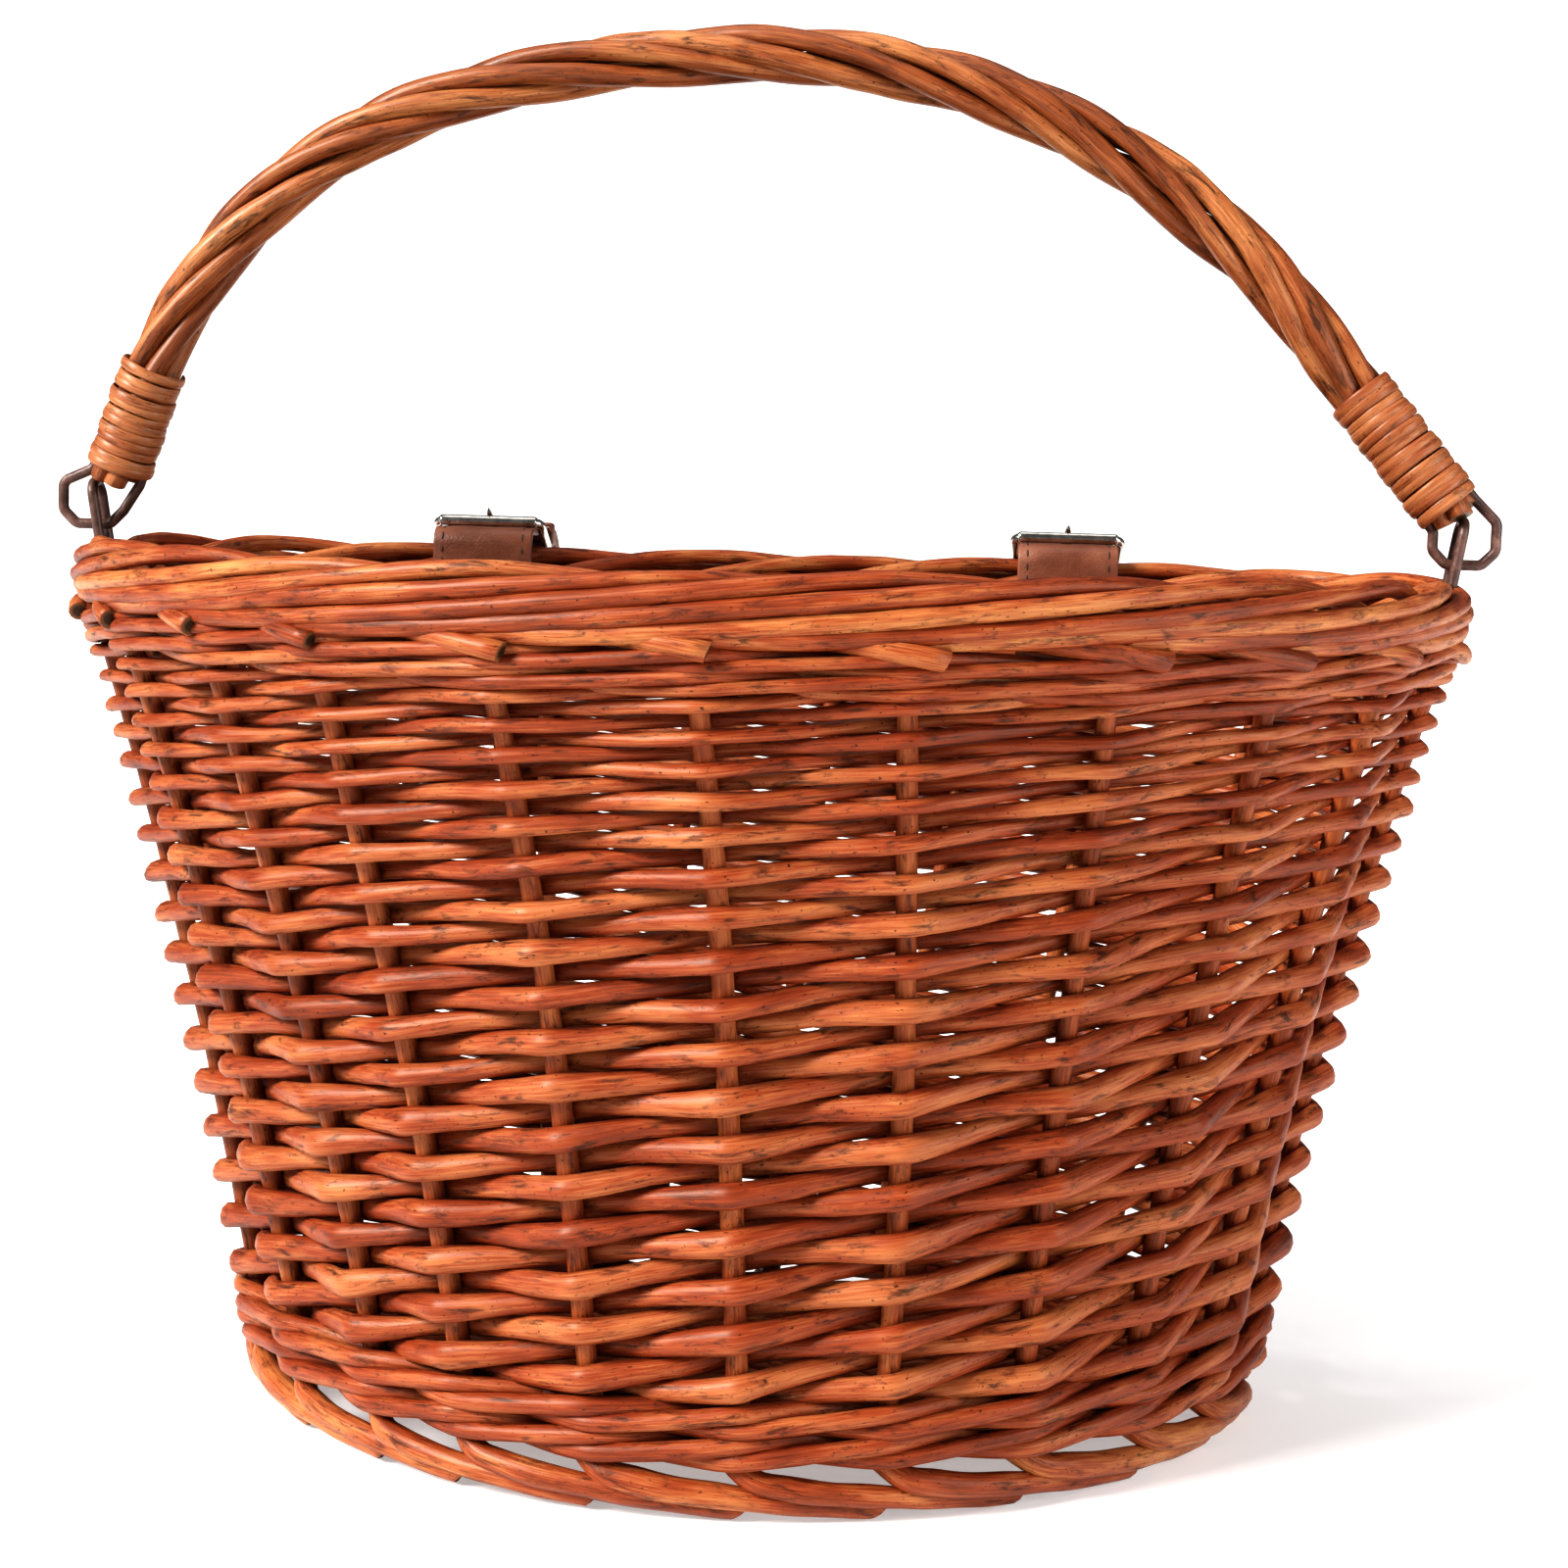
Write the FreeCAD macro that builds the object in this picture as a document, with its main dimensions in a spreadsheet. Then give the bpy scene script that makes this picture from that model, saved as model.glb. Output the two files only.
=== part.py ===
# Handlebar basket: a D-shaped willow basket with a swinging handle of bundled rods and two
# buckled straps that hold it on a bicycle's handlebar.
# Frame: +Z up, +X to the right seen from the front, +Y towards the handlebar.
# The origin is on the ground at the middle of the overall box. Millimetres.
import FreeCAD, Part
import math
import os

from FreeCAD import Placement, Rotation, Vector

doc = FreeCAD.newDocument("HandlebarBasket")
sheet = doc.addObject("Spreadsheet::Sheet", "Sizes")

SIZES = {
    # plan of the rim and of the base, measured to the middle of the wall
    "rim_half": 172.0, "rim_front": 125.0, "rim_back": 91.0, "rim_corner": 61.5, "rim_side": 19.5,
    "base_half": 128.5, "base_front": 79.0, "base_back": 69.5, "base_corner": 40.0, "base_side": 25.0,
    "flare": 0.32, "stake_lean": 0.016,
    # heights
    "foot_top": 12.0, "floor_low": 13.0, "floor_high": 20.0, "wale_high": 34.0,
    "weave_high": 192.0, "border_low": 204.0, "border_high": 220.0,
    # half thicknesses of the woven rings
    "wall_half": 6.0, "wale_half": 7.0, "border_half": 7.0, "foot_half": 5.5,
    "border_round": 6.0, "foot_round": 3.0,
    # stakes and floor sticks
    "stake_radius": 2.5, "stake_gap": 1.0, "stick_radius": 2.2, "channel_gap": 0.15,
    "front_stakes": 13.0, "front_pitch": 0.0508, "front_shift": -0.0058,
    "back_stakes": 6.0, "back_pitch": 0.0463, "back_shift": 0.0037,
    "corner_stakes": 4.0, "corner_shift": 0.009,
    "floor_sticks": 9.0, "stick_pitch": 24.0, "stick_inset": 2.0, "floor_gap": 0.2,
    # handle: crown arc, two shoulders, straight legs that end above the hinge
    "crown_radius": 271.6, "crown_x": -2.7, "crown_top": 345.7,
    "left_crown": 17.6, "left_radius": 120.8, "left_turn": 54.0,
    "right_crown": 1.0, "right_radius": 174.5, "right_turn": 49.0,
    "leg_end": 236.4, "handle_rods": 6.0, "rod_radius": 2.1, "rod_ring": 4.25,
    "left_binding": 28.0, "right_binding": 37.0, "binding_inner": 7.83, "binding_outer": 8.6,
    # wire links and eyes that hinge the handle on the rim
    "hinge_z": 222.7, "hinge_x": 176.0, "wire_radius": 1.35, "wire_bend": 2.6,
    "shank_ring": 6.43, "shank_length": 20.0, "shank_drop": 1.5,
    "link_half": 7.9, "link_shoulder": 10.8, "link_chamfer": 3.5,
    "eye_half": 4.0, "eye_foot": 206.0, "eye_top": 233.5, "eye_foot_x": 171.0, "eye_top_x": 175.5,
    "eye_bend": 3.8, "eye_gap": 0.1, "cut_over": 1.0,
    # straps, seen from the side: heel bar, roller and the handlebar they hold
    "strap_width": 27.4, "strap_thick": 2.0, "left_strap": -83.0, "right_strap": 78.4,
    "heel_y": 98.2, "heel_z": 218.75, "heel_radius": 1.1, "fold_gap": 0.1,
    "roller_y": 82.7, "roller_z": 225.8, "tip_bar_radius": 0.9, "roller_bore": 0.97,
    "roller_radius": 1.5, "bar_y": 115.2, "bar_radius": 12.7, "bar_gap": 0.1, "layer_gap": 0.15,
    "inner_run": 73.8, "strap_corner": 4.0, "fold_end": 300.0, "tail_length": 3.5, "tip_angle": -25.0,
    "slot_half": 1.6, "slot_front": 88.0, "slot_back": 100.8, "hole_radius": 1.3,
    "pass_gap": 0.3, "pass_depth": 30.0, "slot_depth": 4.5, "first_hole": 62.0, "second_hole": 18.0,
    "side_thick": 1.6, "side_half": 1.4, "side_over": 1.6, "side_gap": 0.3,
    "prong_radius": 0.8, "prong_eye": 2.1, "prong_bore": 1.17, "prong_width": 2.2,
    "prong_over": 2.5, "prong_gap": 0.15,
    "keeper_y": 103.2, "keeper_long": 4.5, "keeper_thick": 1.2, "keeper_gap": 0.25,
}

for row, (alias, value) in enumerate(SIZES.items(), start=1):
    sheet.set(f"A{row}", alias)
    sheet.set(f"B{row}", repr(value))
    sheet.setAlias(f"B{row}", alias)
doc.recompute()

X_AXIS = Vector(1, 0, 0)
ALONG_X = Rotation(Vector(0, 1, 0), 90)


class Sizes:
    """Reads a size from its cell by name."""

    def __getattr__(self, alias):
        return float(sheet.get(alias))


size = Sizes()
nodes = []


def keep(obj, name):
    """Names a finished sub-part."""
    obj.Label = name
    nodes.append(obj)
    return obj


def add(kind, name, **properties):
    """Adds an object; text starting with = binds that property to the sheet."""
    obj = doc.addObject(kind, name)
    for prop, value in properties.items():
        if isinstance(value, str) and value.startswith("="):
            obj.setExpression(prop, value[1:])
        else:
            setattr(obj, prop, value)
    return obj


def feature(name, shape):
    obj = doc.addObject("Part::Feature", name)
    obj.Shape = shape
    return obj


# ---------------------------------------------------------------- the D-shaped plan
# Each level's outline is four tangent arcs: a wide front, two sides and a flatter back.

PLAN = ("half", "front", "back", "corner", "side")


def flared(height):
    """How far the wall has opened out at a height, from 0 at the foot to 1 under the border."""
    level = (height - size.foot_top) / (size.border_low - size.foot_top)
    return level + size.flare * (level * level - level)


def plan_at(share):
    """The five plan sizes between the base (0) and the rim (1)."""
    base = [getattr(size, "base_" + word) for word in PLAN]
    rim = [getattr(size, "rim_" + word) for word in PLAN]
    return [low + (high - low) * share for low, high in zip(base, rim)]


def plan_arcs(plan):
    """The outline as (centre x, centre y, radius, start angle, end angle), from the front's middle."""
    half, front, back, corner, side = plan
    centre = half - corner
    front_radius = (centre ** 2 + (side + front) ** 2 - corner ** 2) / (2 * (side + front - corner))
    back_radius = (centre ** 2 + (back - side) ** 2 - corner ** 2) / (2 * (back - side - corner))
    front_y = front_radius - front
    back_y = back - back_radius
    low = math.atan2(side - front_y, centre)
    high = math.atan2(side - back_y, centre)
    return [
        (0.0, front_y, front_radius, -math.pi / 2, low),
        (centre, side, corner, low, high),
        (0.0, back_y, back_radius, high, math.pi - high),
        (-centre, side, corner, math.pi - high, math.pi - low),
        (0.0, front_y, front_radius, math.pi - low, 1.5 * math.pi),
    ]


def plan_point(plan, place):
    """A point on the outline at a share of its length, anticlockwise from the front's middle."""
    arcs = plan_arcs(plan)
    lengths = [radius * (end - start) for _, _, radius, start, end in arcs]
    left = (place % 1.0) * sum(lengths)
    for (x, y, radius, start, _), length in zip(arcs, lengths):
        if left <= length:
            angle = start + left / radius
            return x + radius * math.cos(angle), y + radius * math.sin(angle)
        left -= length
    return 0.0, -plan[1]


def plan_wire(share, height, grow):
    """The closed outline at a height, grown outwards by an offset."""
    edges = []
    for x, y, radius, start, end in plan_arcs(plan_at(share)):
        circle = Part.Circle(Vector(x, y, height), Vector(0, 0, 1), radius + grow)
        edges.append(Part.Arc(circle, start, end).toShape())
    return Part.Wire(edges)


def tapered(name, low, high, grow):
    """A solid between two heights that follows the wall's flare."""
    heights = (low, (low + high) / 2, high)
    wires = [feature(f"{name}_outline_{n}", plan_wire(flared(z), z, grow)) for n, z in enumerate(heights)]
    return add("Part::Loft", name, Sections=wires, Solid=True, Ruled=False)


def shell(name, low, high, half):
    """A ring of the wall between two heights."""
    outer = tapered(name + "_outer", low, high, half)
    inner = tapered(name + "_inner", low, high, -half)
    return add("Part::Cut", name + "_ring", Base=outer, Tool=inner)


def flat_ring(name, share, low, depth, half, rounding):
    """A ring of constant plan with rounded edges."""
    sides = []
    for word, grow in (("outer", half), ("inner", -half)):
        base = feature(f"{name}_{word}_outline", plan_wire(share, low, grow))
        sides.append(add("Part::Extrusion", f"{name}_{word}", Base=base, DirMode="Custom",
                         Dir=Vector(0, 0, 1), LengthFwd=depth, Solid=True))
    ring = add("Part::Cut", name + "_ring", Base=sides[0], Tool=sides[1])
    doc.recompute()
    level = [n for n, edge in enumerate(ring.Shape.Edges, start=1)
             if edge.BoundBox.ZLength < 0.01]
    rounded = add("Part::Fillet", name + "_rounded", Base=ring)
    rounded.Edges = [(n, rounding, rounding) for n in level]
    return rounded


# ---------------------------------------------------------------- stakes

def stake_places():
    """Shares of the outline's length where the stakes stand, anticlockwise from the front."""
    half_front = (size.front_stakes - 1) / 2
    half_back = (size.back_stakes - 1) / 2
    front = [size.front_shift + size.front_pitch * (n - half_front) for n in range(int(size.front_stakes))]
    front = [place + (size.corner_shift if n < size.corner_stakes else 0.0) for n, place in enumerate(front)]
    back = [0.5 + size.back_shift + size.back_pitch * (n - half_back) for n in range(int(size.back_stakes))]
    right = (front[-1] + back[0]) / 2
    left = (back[-1] + front[0] + 1.0) / 2
    return front + [right] + back + [left]


def wall_point(place, height):
    """A point in the middle of the wall; the stakes lean a little as they rise."""
    share = flared(height)
    x, y = plan_point(plan_at(share), place + size.stake_lean * (1.0 - share))
    return Vector(x, y, height)


def bent_rod(name, place, low, high, radius):
    """A rod along the arc through three points of the wall."""
    start, middle, end = (wall_point(place, z) for z in (low, (low + high) / 2, high))
    circle = Part.Arc(start, middle, end).toShape().Curve
    centre = circle.Center
    out = (start - centre).normalize()
    normal = (start - centre).cross(end - centre).normalize()
    turn = math.degrees((start - centre).getAngle(end - centre))
    place_it = Placement(centre, Rotation(out, normal.cross(out), normal, "XYZ"))
    return add("Part::Torus", name, Radius1=circle.Radius, Radius2=radius, Angle3=turn,
               Placement=place_it)


channels = []
for number, place in enumerate(stake_places(), start=1):
    foot, head = size.floor_high, size.border_low
    stake = bent_rod(f"stake_{number}", place, foot, head - size.stake_gap, "=Sizes.stake_radius")
    keep(stake, f"side_stake_{number:02d}")
    channels.append(bent_rod(f"channel_{number}", place, foot - size.stake_gap, head + size.stake_gap,
                             "=Sizes.stake_radius + Sizes.channel_gap"))
channel_set = add("Part::Compound", "channel_set", Links=channels)


# ---------------------------------------------------------------- straps' side view
# The layers over the border: the strap's body below, its free end above.

body_run = size.heel_z + size.heel_radius + size.fold_gap + size.strap_thick / 2
free_run = body_run + size.strap_thick + size.layer_gap
body_bend = size.bar_radius + size.bar_gap + size.strap_thick / 2
free_bend = body_bend + size.strap_thick + size.layer_gap
bar_z = body_run - body_bend
low_run = bar_z - body_bend
strap_middles = {"left": size.left_strap, "right": size.right_strap}
strap_half = size.strap_width / 2


# ---------------------------------------------------------------- woven body

def cut(name, base, tool):
    return add("Part::Cut", name, Base=base, Tool=tool)


keep(cut("bottom_wale_cut", shell("bottom_wale", size.foot_top, size.wale_high, size.wale_half),
         channel_set), "bottom_wale")
keep(cut("side_weave_cut", shell("side_weave", size.wale_high, size.weave_high, size.wall_half),
         channel_set), "side_weave")

# Each strap passes through the wall between two stakes, just above the side weave.
passages = []
for side, middle in strap_middles.items():
    half = strap_half + size.pass_gap
    low = size.weave_high - size.pass_gap
    corner = Vector(middle - half, size.inner_run, low)
    passages.append(add("Part::Box", f"{side}_passage", Length=2 * half, Width=size.pass_depth,
                        Height=low_run + size.strap_thick / 2 + size.pass_gap - low,
                        Placement=Placement(corner, Rotation())))
top_tools = add("Part::Compound", "top_tools", Links=channels + passages)
keep(cut("top_wale_cut", shell("top_wale", size.weave_high, size.border_low, size.wall_half),
         top_tools), "top_wale")

keep(flat_ring("foot", flared(size.foot_top), 0.0, "=Sizes.foot_top", size.foot_half,
               size.foot_round), "foot_border")

border = flat_ring("border", 1.0, size.border_low, "=Sizes.border_high - Sizes.border_low",
                   size.border_half, size.border_round)
eye_holes = []
for sign in (-1, 1):
    leaning = Vector(sign * (size.eye_top_x - size.eye_foot_x), 0, size.eye_top - size.eye_foot)
    for leg in (-1, 1):
        spot = Vector(sign * size.eye_foot_x, size.rim_side + leg * size.eye_half, size.eye_foot)
        eye_holes.append(add("Part::Cylinder", "eye_hole", Radius="=Sizes.wire_radius + Sizes.eye_gap",
                             Height="=Sizes.eye_top - Sizes.eye_foot",
                             Placement=Placement(spot, Rotation(Vector(0, 0, 1), leaning))))
keep(cut("border_cut", border, add("Part::Compound", "eye_holes", Links=eye_holes)), "top_border")


# ---------------------------------------------------------------- floor

def floor_disc(name, grow):
    outline = feature(name + "_outline", plan_wire(flared(size.floor_low), size.floor_low, grow))
    return add("Part::Extrusion", name, Base=outline, DirMode="Custom", Dir=Vector(0, 0, 1),
               LengthFwd="=Sizes.floor_high - Sizes.floor_low", Solid=True)


def floor_rods(name, radius):
    """Straight sticks from front to back, side by side through the woven floor."""
    reach = size.base_front + size.base_back
    height = (size.floor_low + size.floor_high) / 2
    rods = []
    for n in range(int(size.floor_sticks)):
        x = size.stick_pitch * (n - (size.floor_sticks - 1) / 2)
        rods.append(add("Part::Cylinder", f"{name}_{n}", Radius=radius, Height=reach,
                        Placement=Placement(Vector(x, size.base_back, height), Rotation(X_AXIS, 90))))
    return add("Part::Compound", name + "_set", Links=rods)


floor_edge = -(size.wale_half + size.floor_gap)
keep(cut("floor_cut", floor_disc("floor", floor_edge),
         floor_rods("stick_channel", "=Sizes.stick_radius + Sizes.channel_gap")), "base_weave")
keep(add("Part::Common", "sticks_trimmed", Base=floor_rods("stick", "=Sizes.stick_radius"),
         Tool=floor_disc("stick_reach", floor_edge - size.stick_inset)), "base_sticks")


# ---------------------------------------------------------------- bent rods and wires

def sweep(name, edges, radius):
    """A round rod along joined edges; the radius is bound to the sheet."""
    path = feature(name + "_path", Part.Wire(edges))
    first = path.Shape.Edges[0]
    start, tangent = first.valueAt(first.FirstParameter), first.tangentAt(first.FirstParameter)
    ring = add("Part::Circle", name + "_section", Radius=radius,
               Placement=Placement(start, Rotation(Vector(0, 0, 1), tangent)))
    spine = (path, [f"Edge{n + 1}" for n in range(len(edges))])
    return add("Part::Sweep", name, Sections=[ring], Spine=spine, Solid=True)


def rounded_path(points, bend):
    """Straight runs through the points with a tangent arc of one radius at each corner."""
    edges = []
    start = points[0]
    for before, corner, after in zip(points, points[1:], points[2:]):
        back, ahead = (before - corner).normalize(), (after - corner).normalize()
        half_turn = (math.pi - back.getAngle(ahead)) / 2
        reach = bend * math.tan(half_turn)
        middle = (back + ahead).normalize() * (bend / math.cos(half_turn) - bend)
        arc_start, arc_end = corner + back * reach, corner + ahead * reach
        edges.append(Part.LineSegment(start, arc_start).toShape())
        edges.append(Part.Arc(arc_start, corner + middle, arc_end).toShape())
        start = arc_end
    edges.append(Part.LineSegment(start, points[-1]).toShape())
    return edges


# ---------------------------------------------------------------- handle

def polar(centre, radius, degrees):
    angle = math.radians(degrees)
    return centre[0] + radius * math.cos(angle), centre[1] + radius * math.sin(angle)


def arch_pieces():
    """The handle's middle line in its own plane, from the left end: leg, three arcs, leg."""
    crown = (size.crown_x, size.crown_top - size.crown_radius)
    left_high, right_high = 90 + size.left_crown, 90 - size.right_crown
    left_low, right_low = left_high + size.left_turn, right_high - size.right_turn
    left = polar(crown, size.crown_radius - size.left_radius, left_high)
    right = polar(crown, size.crown_radius - size.right_radius, right_high)
    pieces = [("arc", left, size.left_radius, left_low, left_high),
              ("arc", crown, size.crown_radius, left_high, right_high),
              ("arc", right, size.right_radius, right_high, right_low)]
    ends = []
    for centre, radius, low in ((left, size.left_radius, left_low), (right, size.right_radius, right_low)):
        top = polar(centre, radius, low)
        angle = math.radians(low)
        along = (math.sin(angle), -math.cos(angle))
        length = (top[1] - size.leg_end) / abs(along[1])
        ends.append((top, along, length))
    top, along, length = ends[0]
    foot = (top[0] - along[0] * length, top[1] - along[1] * length)
    pieces.insert(0, ("line", foot, along, length))
    pieces.append(("line",) + ends[1])
    return pieces


def arch_edges(radial, lateral, first=0.0, last=None):
    """Edges beside the handle's middle line, between two distances from its left end."""
    edges, travelled = [], 0.0
    last = arch_length if last is None else last
    y = size.rim_side + lateral
    for piece in arch_pieces():
        if piece[0] == "line":
            _, (x, z), (dx, dz), length = piece
        else:
            _, centre, radius, begin, end = piece
            length = radius * math.radians(begin - end)
        low, high = max(first - travelled, 0.0), min(last - travelled, length)
        travelled += length
        if high - low < 1e-6:
            continue
        if piece[0] == "line":
            ends = [Vector(x + dx * s - dz * radial, y, z + dz * s + dx * radial) for s in (low, high)]
            edges.append(Part.LineSegment(*ends).toShape())
            continue
        points = []
        for s in (low, (low + high) / 2, high):
            px, pz = polar(centre, radius + radial, begin - math.degrees(s / radius))
            points.append(Vector(px, y, pz))
        edges.append(Part.Arc(*points).toShape())
    return edges


arch_length = sum(piece[3] if piece[0] == "line" else piece[2] * math.radians(piece[3] - piece[4])
                  for piece in arch_pieces())

for number in range(int(size.handle_rods)):
    angle = math.radians(30 + 360 / size.handle_rods * number)
    edges = arch_edges(size.rod_ring * math.cos(angle), size.rod_ring * math.sin(angle))
    keep(sweep(f"rod_{number + 1}", edges, "=Sizes.rod_radius"), f"handle_rod_{number + 1}")
keep(sweep("core", arch_edges(0.0, 0.0), "=Sizes.rod_radius"), "handle_core")

for side, first, last in (("left", 0.0, size.left_binding),
                          ("right", arch_length - size.right_binding, arch_length)):
    outer = sweep(side + "_wrap", arch_edges(0.0, 0.0, first, last), "=Sizes.binding_outer")
    inner = sweep(side + "_wrap_bore", arch_edges(0.0, 0.0, first, last), "=Sizes.binding_inner")
    keep(cut(side + "_wrap_cut", outer, inner), f"handle_binding_{side}")


# ---------------------------------------------------------------- wire links and eyes

def link_points(sign, end, along):
    """A link's corners: down one side of the handle's end, round the hinge, up the other side."""
    out = (-along[1], along[0]) if sign < 0 else (along[1], -along[0])
    corners = []
    for ring in (size.shank_ring, -size.shank_ring):
        x, z = end[0] + out[0] * ring, end[1] + out[1] * ring
        for run in (size.shank_length, -size.shank_drop):
            corners.append((x + along[0] * run, z + along[1] * run))
    wide, narrow = size.hinge_x + size.link_half, size.hinge_x - size.link_half
    loop = [(sign * wide, size.hinge_z + size.link_shoulder), (sign * wide, size.hinge_z + size.link_chamfer),
            (sign * (wide - size.link_chamfer), size.hinge_z),
            (sign * (narrow + size.link_chamfer), size.hinge_z),
            (sign * narrow, size.hinge_z + size.link_chamfer)]
    route = corners[:2] + loop + [corners[3], corners[2]]
    return [Vector(x, size.rim_side, z) for x, z in route]


arch = arch_pieces()
left_foot, left_up = arch[0][1], arch[0][2]
right_top, right_down, right_long = arch[-1][1:]
right_foot = (right_top[0] + right_down[0] * right_long, right_top[1] + right_down[1] * right_long)
right_up = (-right_down[0], -right_down[1])
for side, sign, end, along in (("left", -1, left_foot, left_up), ("right", 1, right_foot, right_up)):
    corners = link_points(sign, end, along)
    keep(sweep(side + "_link", rounded_path(corners, size.wire_bend), "=Sizes.wire_radius"),
         f"handle_ring_{side}")
    foot_x, top_x = sign * size.eye_foot_x, sign * size.eye_top_x
    near, far = size.rim_side - size.eye_half, size.rim_side + size.eye_half
    hairpin = [Vector(foot_x, near, size.eye_foot), Vector(top_x, near, size.eye_top),
               Vector(top_x, far, size.eye_top), Vector(foot_x, far, size.eye_foot)]
    keep(sweep(side + "_eye", rounded_path(hairpin, size.eye_bend), "=Sizes.wire_radius"),
         f"rim_eye_{side}")


# ---------------------------------------------------------------- straps and buckles

def strap_route():
    """The strap's middle line seen from the side, from its stitched tail to its free tip."""
    heel = (size.heel_y, size.heel_z)
    bar = (size.bar_y, bar_z)
    fold = size.heel_radius + size.fold_gap + size.strap_thick / 2
    bend = size.strap_corner
    low = (size.inner_run + bend, low_run + bend)
    high = (size.inner_run + bend, free_run - bend)
    tail_start = polar(heel, fold, size.fold_end)
    tail_end = polar(tail_start, size.tail_length, size.fold_end - 270)
    return [
        ("line", tail_end, tail_start),
        ("arc", heel, fold, size.fold_end, 90),
        ("line", (heel[0], body_run), (bar[0], body_run)),
        ("arc", bar, body_bend, 90, -90),
        ("line", (bar[0], low_run), (low[0], low_run)),
        ("arc", low, bend, 270, 180),
        ("line", (size.inner_run, low[1]), (size.inner_run, high[1])),
        ("arc", high, bend, 180, 90),
        ("line", (high[0], free_run), (bar[0], free_run)),
        ("arc", bar, free_bend, 90, size.tip_angle),
    ]


def side_edges(route, x, shift):
    """The route moved sideways by a shift, as edges in the plane at x."""
    edges = []
    for piece in route:
        if piece[0] == "line":
            (y0, z0), (y1, z1) = piece[1:]
            long = math.hypot(y1 - y0, z1 - z0)
            ny, nz = -(z1 - z0) / long * shift, (y1 - y0) / long * shift
            edges.append(Part.LineSegment(Vector(x, y0 + ny, z0 + nz), Vector(x, y1 + ny, z1 + nz)).toShape())
            continue
        centre, radius, begin, end = piece[1:]
        points = [polar(centre, radius + shift, angle) for angle in (begin, (begin + end) / 2, end)]
        edges.append(Part.Arc(*[Vector(x, y, z) for y, z in points]).toShape())
    return edges


def strap(side, middle):
    half = size.strap_thick / 2
    outer, inner = (side_edges(strap_route(), middle - strap_half, shift) for shift in (half, -half))
    caps = [Part.LineSegment(a.firstVertex(True).Point, b.firstVertex(True).Point).toShape()
            for a, b in ((outer[0], inner[0]),)]
    caps += [Part.LineSegment(a.lastVertex(True).Point, b.lastVertex(True).Point).toShape()
             for a, b in ((outer[-1], inner[-1]),)]
    outline = feature(side + "_strap_outline", Part.Wire(Part.sortEdges(outer + inner + caps)[0]))
    band = add("Part::Extrusion", side + "_band", Base=outline, DirMode="Custom", Dir=X_AXIS,
               LengthFwd="=Sizes.strap_width", Solid=True)
    low = size.heel_z - size.slot_depth
    slot = add("Part::Box", side + "_prong_slot", Length="=2 * Sizes.slot_half",
               Width="=Sizes.slot_back - Sizes.slot_front",
               Height=free_run + size.strap_thick - low,
               Placement=Placement(Vector(middle - size.slot_half, size.slot_front, low), Rotation()))
    tools = [slot]
    for angle in (size.first_hole, size.second_hole):
        y, z = polar((size.bar_y, bar_z), free_bend - size.strap_thick / 2 - size.layer_gap / 2, angle)
        tools.append(add("Part::Cylinder", side + "_hole", Radius="=Sizes.hole_radius",
                         Height="=2 * Sizes.strap_thick",
                         Placement=Placement(Vector(middle, y, z), Rotation(X_AXIS, angle - 90))))
    return cut(side + "_strap_cut", band, add("Part::Compound", side + "_strap_tools", Links=tools))


roller = (size.roller_y, size.roller_z)
reach = math.hypot(size.heel_y - roller[0], size.heel_z - roller[1])
tilt = math.degrees(math.atan2(roller[1] - size.heel_z, size.heel_y - roller[0]))
inner_half = strap_half + size.side_gap


def crossbar(name, middle, spot, radius, half):
    """A round bar along X, centred on the strap."""
    return add("Part::Cylinder", name, Radius=radius, Height=2 * half,
               Placement=Placement(Vector(middle - half, *spot), ALONG_X))


def buckle_frame(side, middle):
    turn = Rotation(X_AXIS, -tilt)
    bar_half = inner_half + size.side_thick / 2
    pieces = [crossbar(side + "_heel_bar", middle, (size.heel_y, size.heel_z), "=Sizes.heel_radius", bar_half),
              crossbar(side + "_tip_bar", middle, roller, "=Sizes.tip_bar_radius", bar_half)]
    for sign in (-1, 1):
        start = inner_half if sign > 0 else -inner_half - size.side_thick
        corner = turn.multVec(Vector(0, -size.side_over, -size.side_half))
        spot = Vector(middle + start, roller[0], roller[1]) + corner
        pieces.append(add("Part::Box", side + "_buckle_side", Length="=Sizes.side_thick",
                          Width=reach + 2 * size.side_over, Height="=2 * Sizes.side_half",
                          Placement=Placement(spot, turn)))
    return add("Part::MultiFuse", side + "_frame", Shapes=pieces)


def buckle_roller(side, middle):
    tube = crossbar(side + "_tube", middle, roller, "=Sizes.roller_radius", strap_half)
    bore = crossbar(side + "_tube_bore", middle, roller, "=Sizes.roller_bore", inner_half)
    return cut(side + "_roller", tube, bore)


def buckle_prong(side, middle):
    """A tongue that turns on the heel bar and rests on the roller."""
    lift = size.roller_radius + size.prong_gap + size.prong_radius
    rise = math.radians(tilt) + math.asin(lift / reach)
    ahead = Vector(0, -math.cos(rise), math.sin(rise))
    heel = Vector(middle, size.heel_y, size.heel_z)
    start = (size.prong_eye + size.prong_bore) / 2
    long = math.sqrt(reach ** 2 - lift ** 2) + size.prong_over - start
    turned = Rotation(Vector(0, 0, 1), ahead)
    pin = add("Part::Cylinder", side + "_pin", Radius="=Sizes.prong_radius", Height=long,
              Placement=Placement(heel + ahead * start, turned))
    tip = add("Part::Sphere", side + "_pin_tip", Radius="=Sizes.prong_radius",
              Placement=Placement(heel + ahead * (start + long), turned))
    half = size.prong_width / 2
    eye = crossbar(side + "_prong_eye", middle, (size.heel_y, size.heel_z), "=Sizes.prong_eye", half)
    whole = add("Part::MultiFuse", side + "_prong_whole", Shapes=[eye, pin, tip])
    bore = crossbar(side + "_prong_bore", middle, (size.heel_y, size.heel_z), "=Sizes.prong_bore", 2 * half)
    return cut(side + "_prong", whole, bore)


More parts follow.
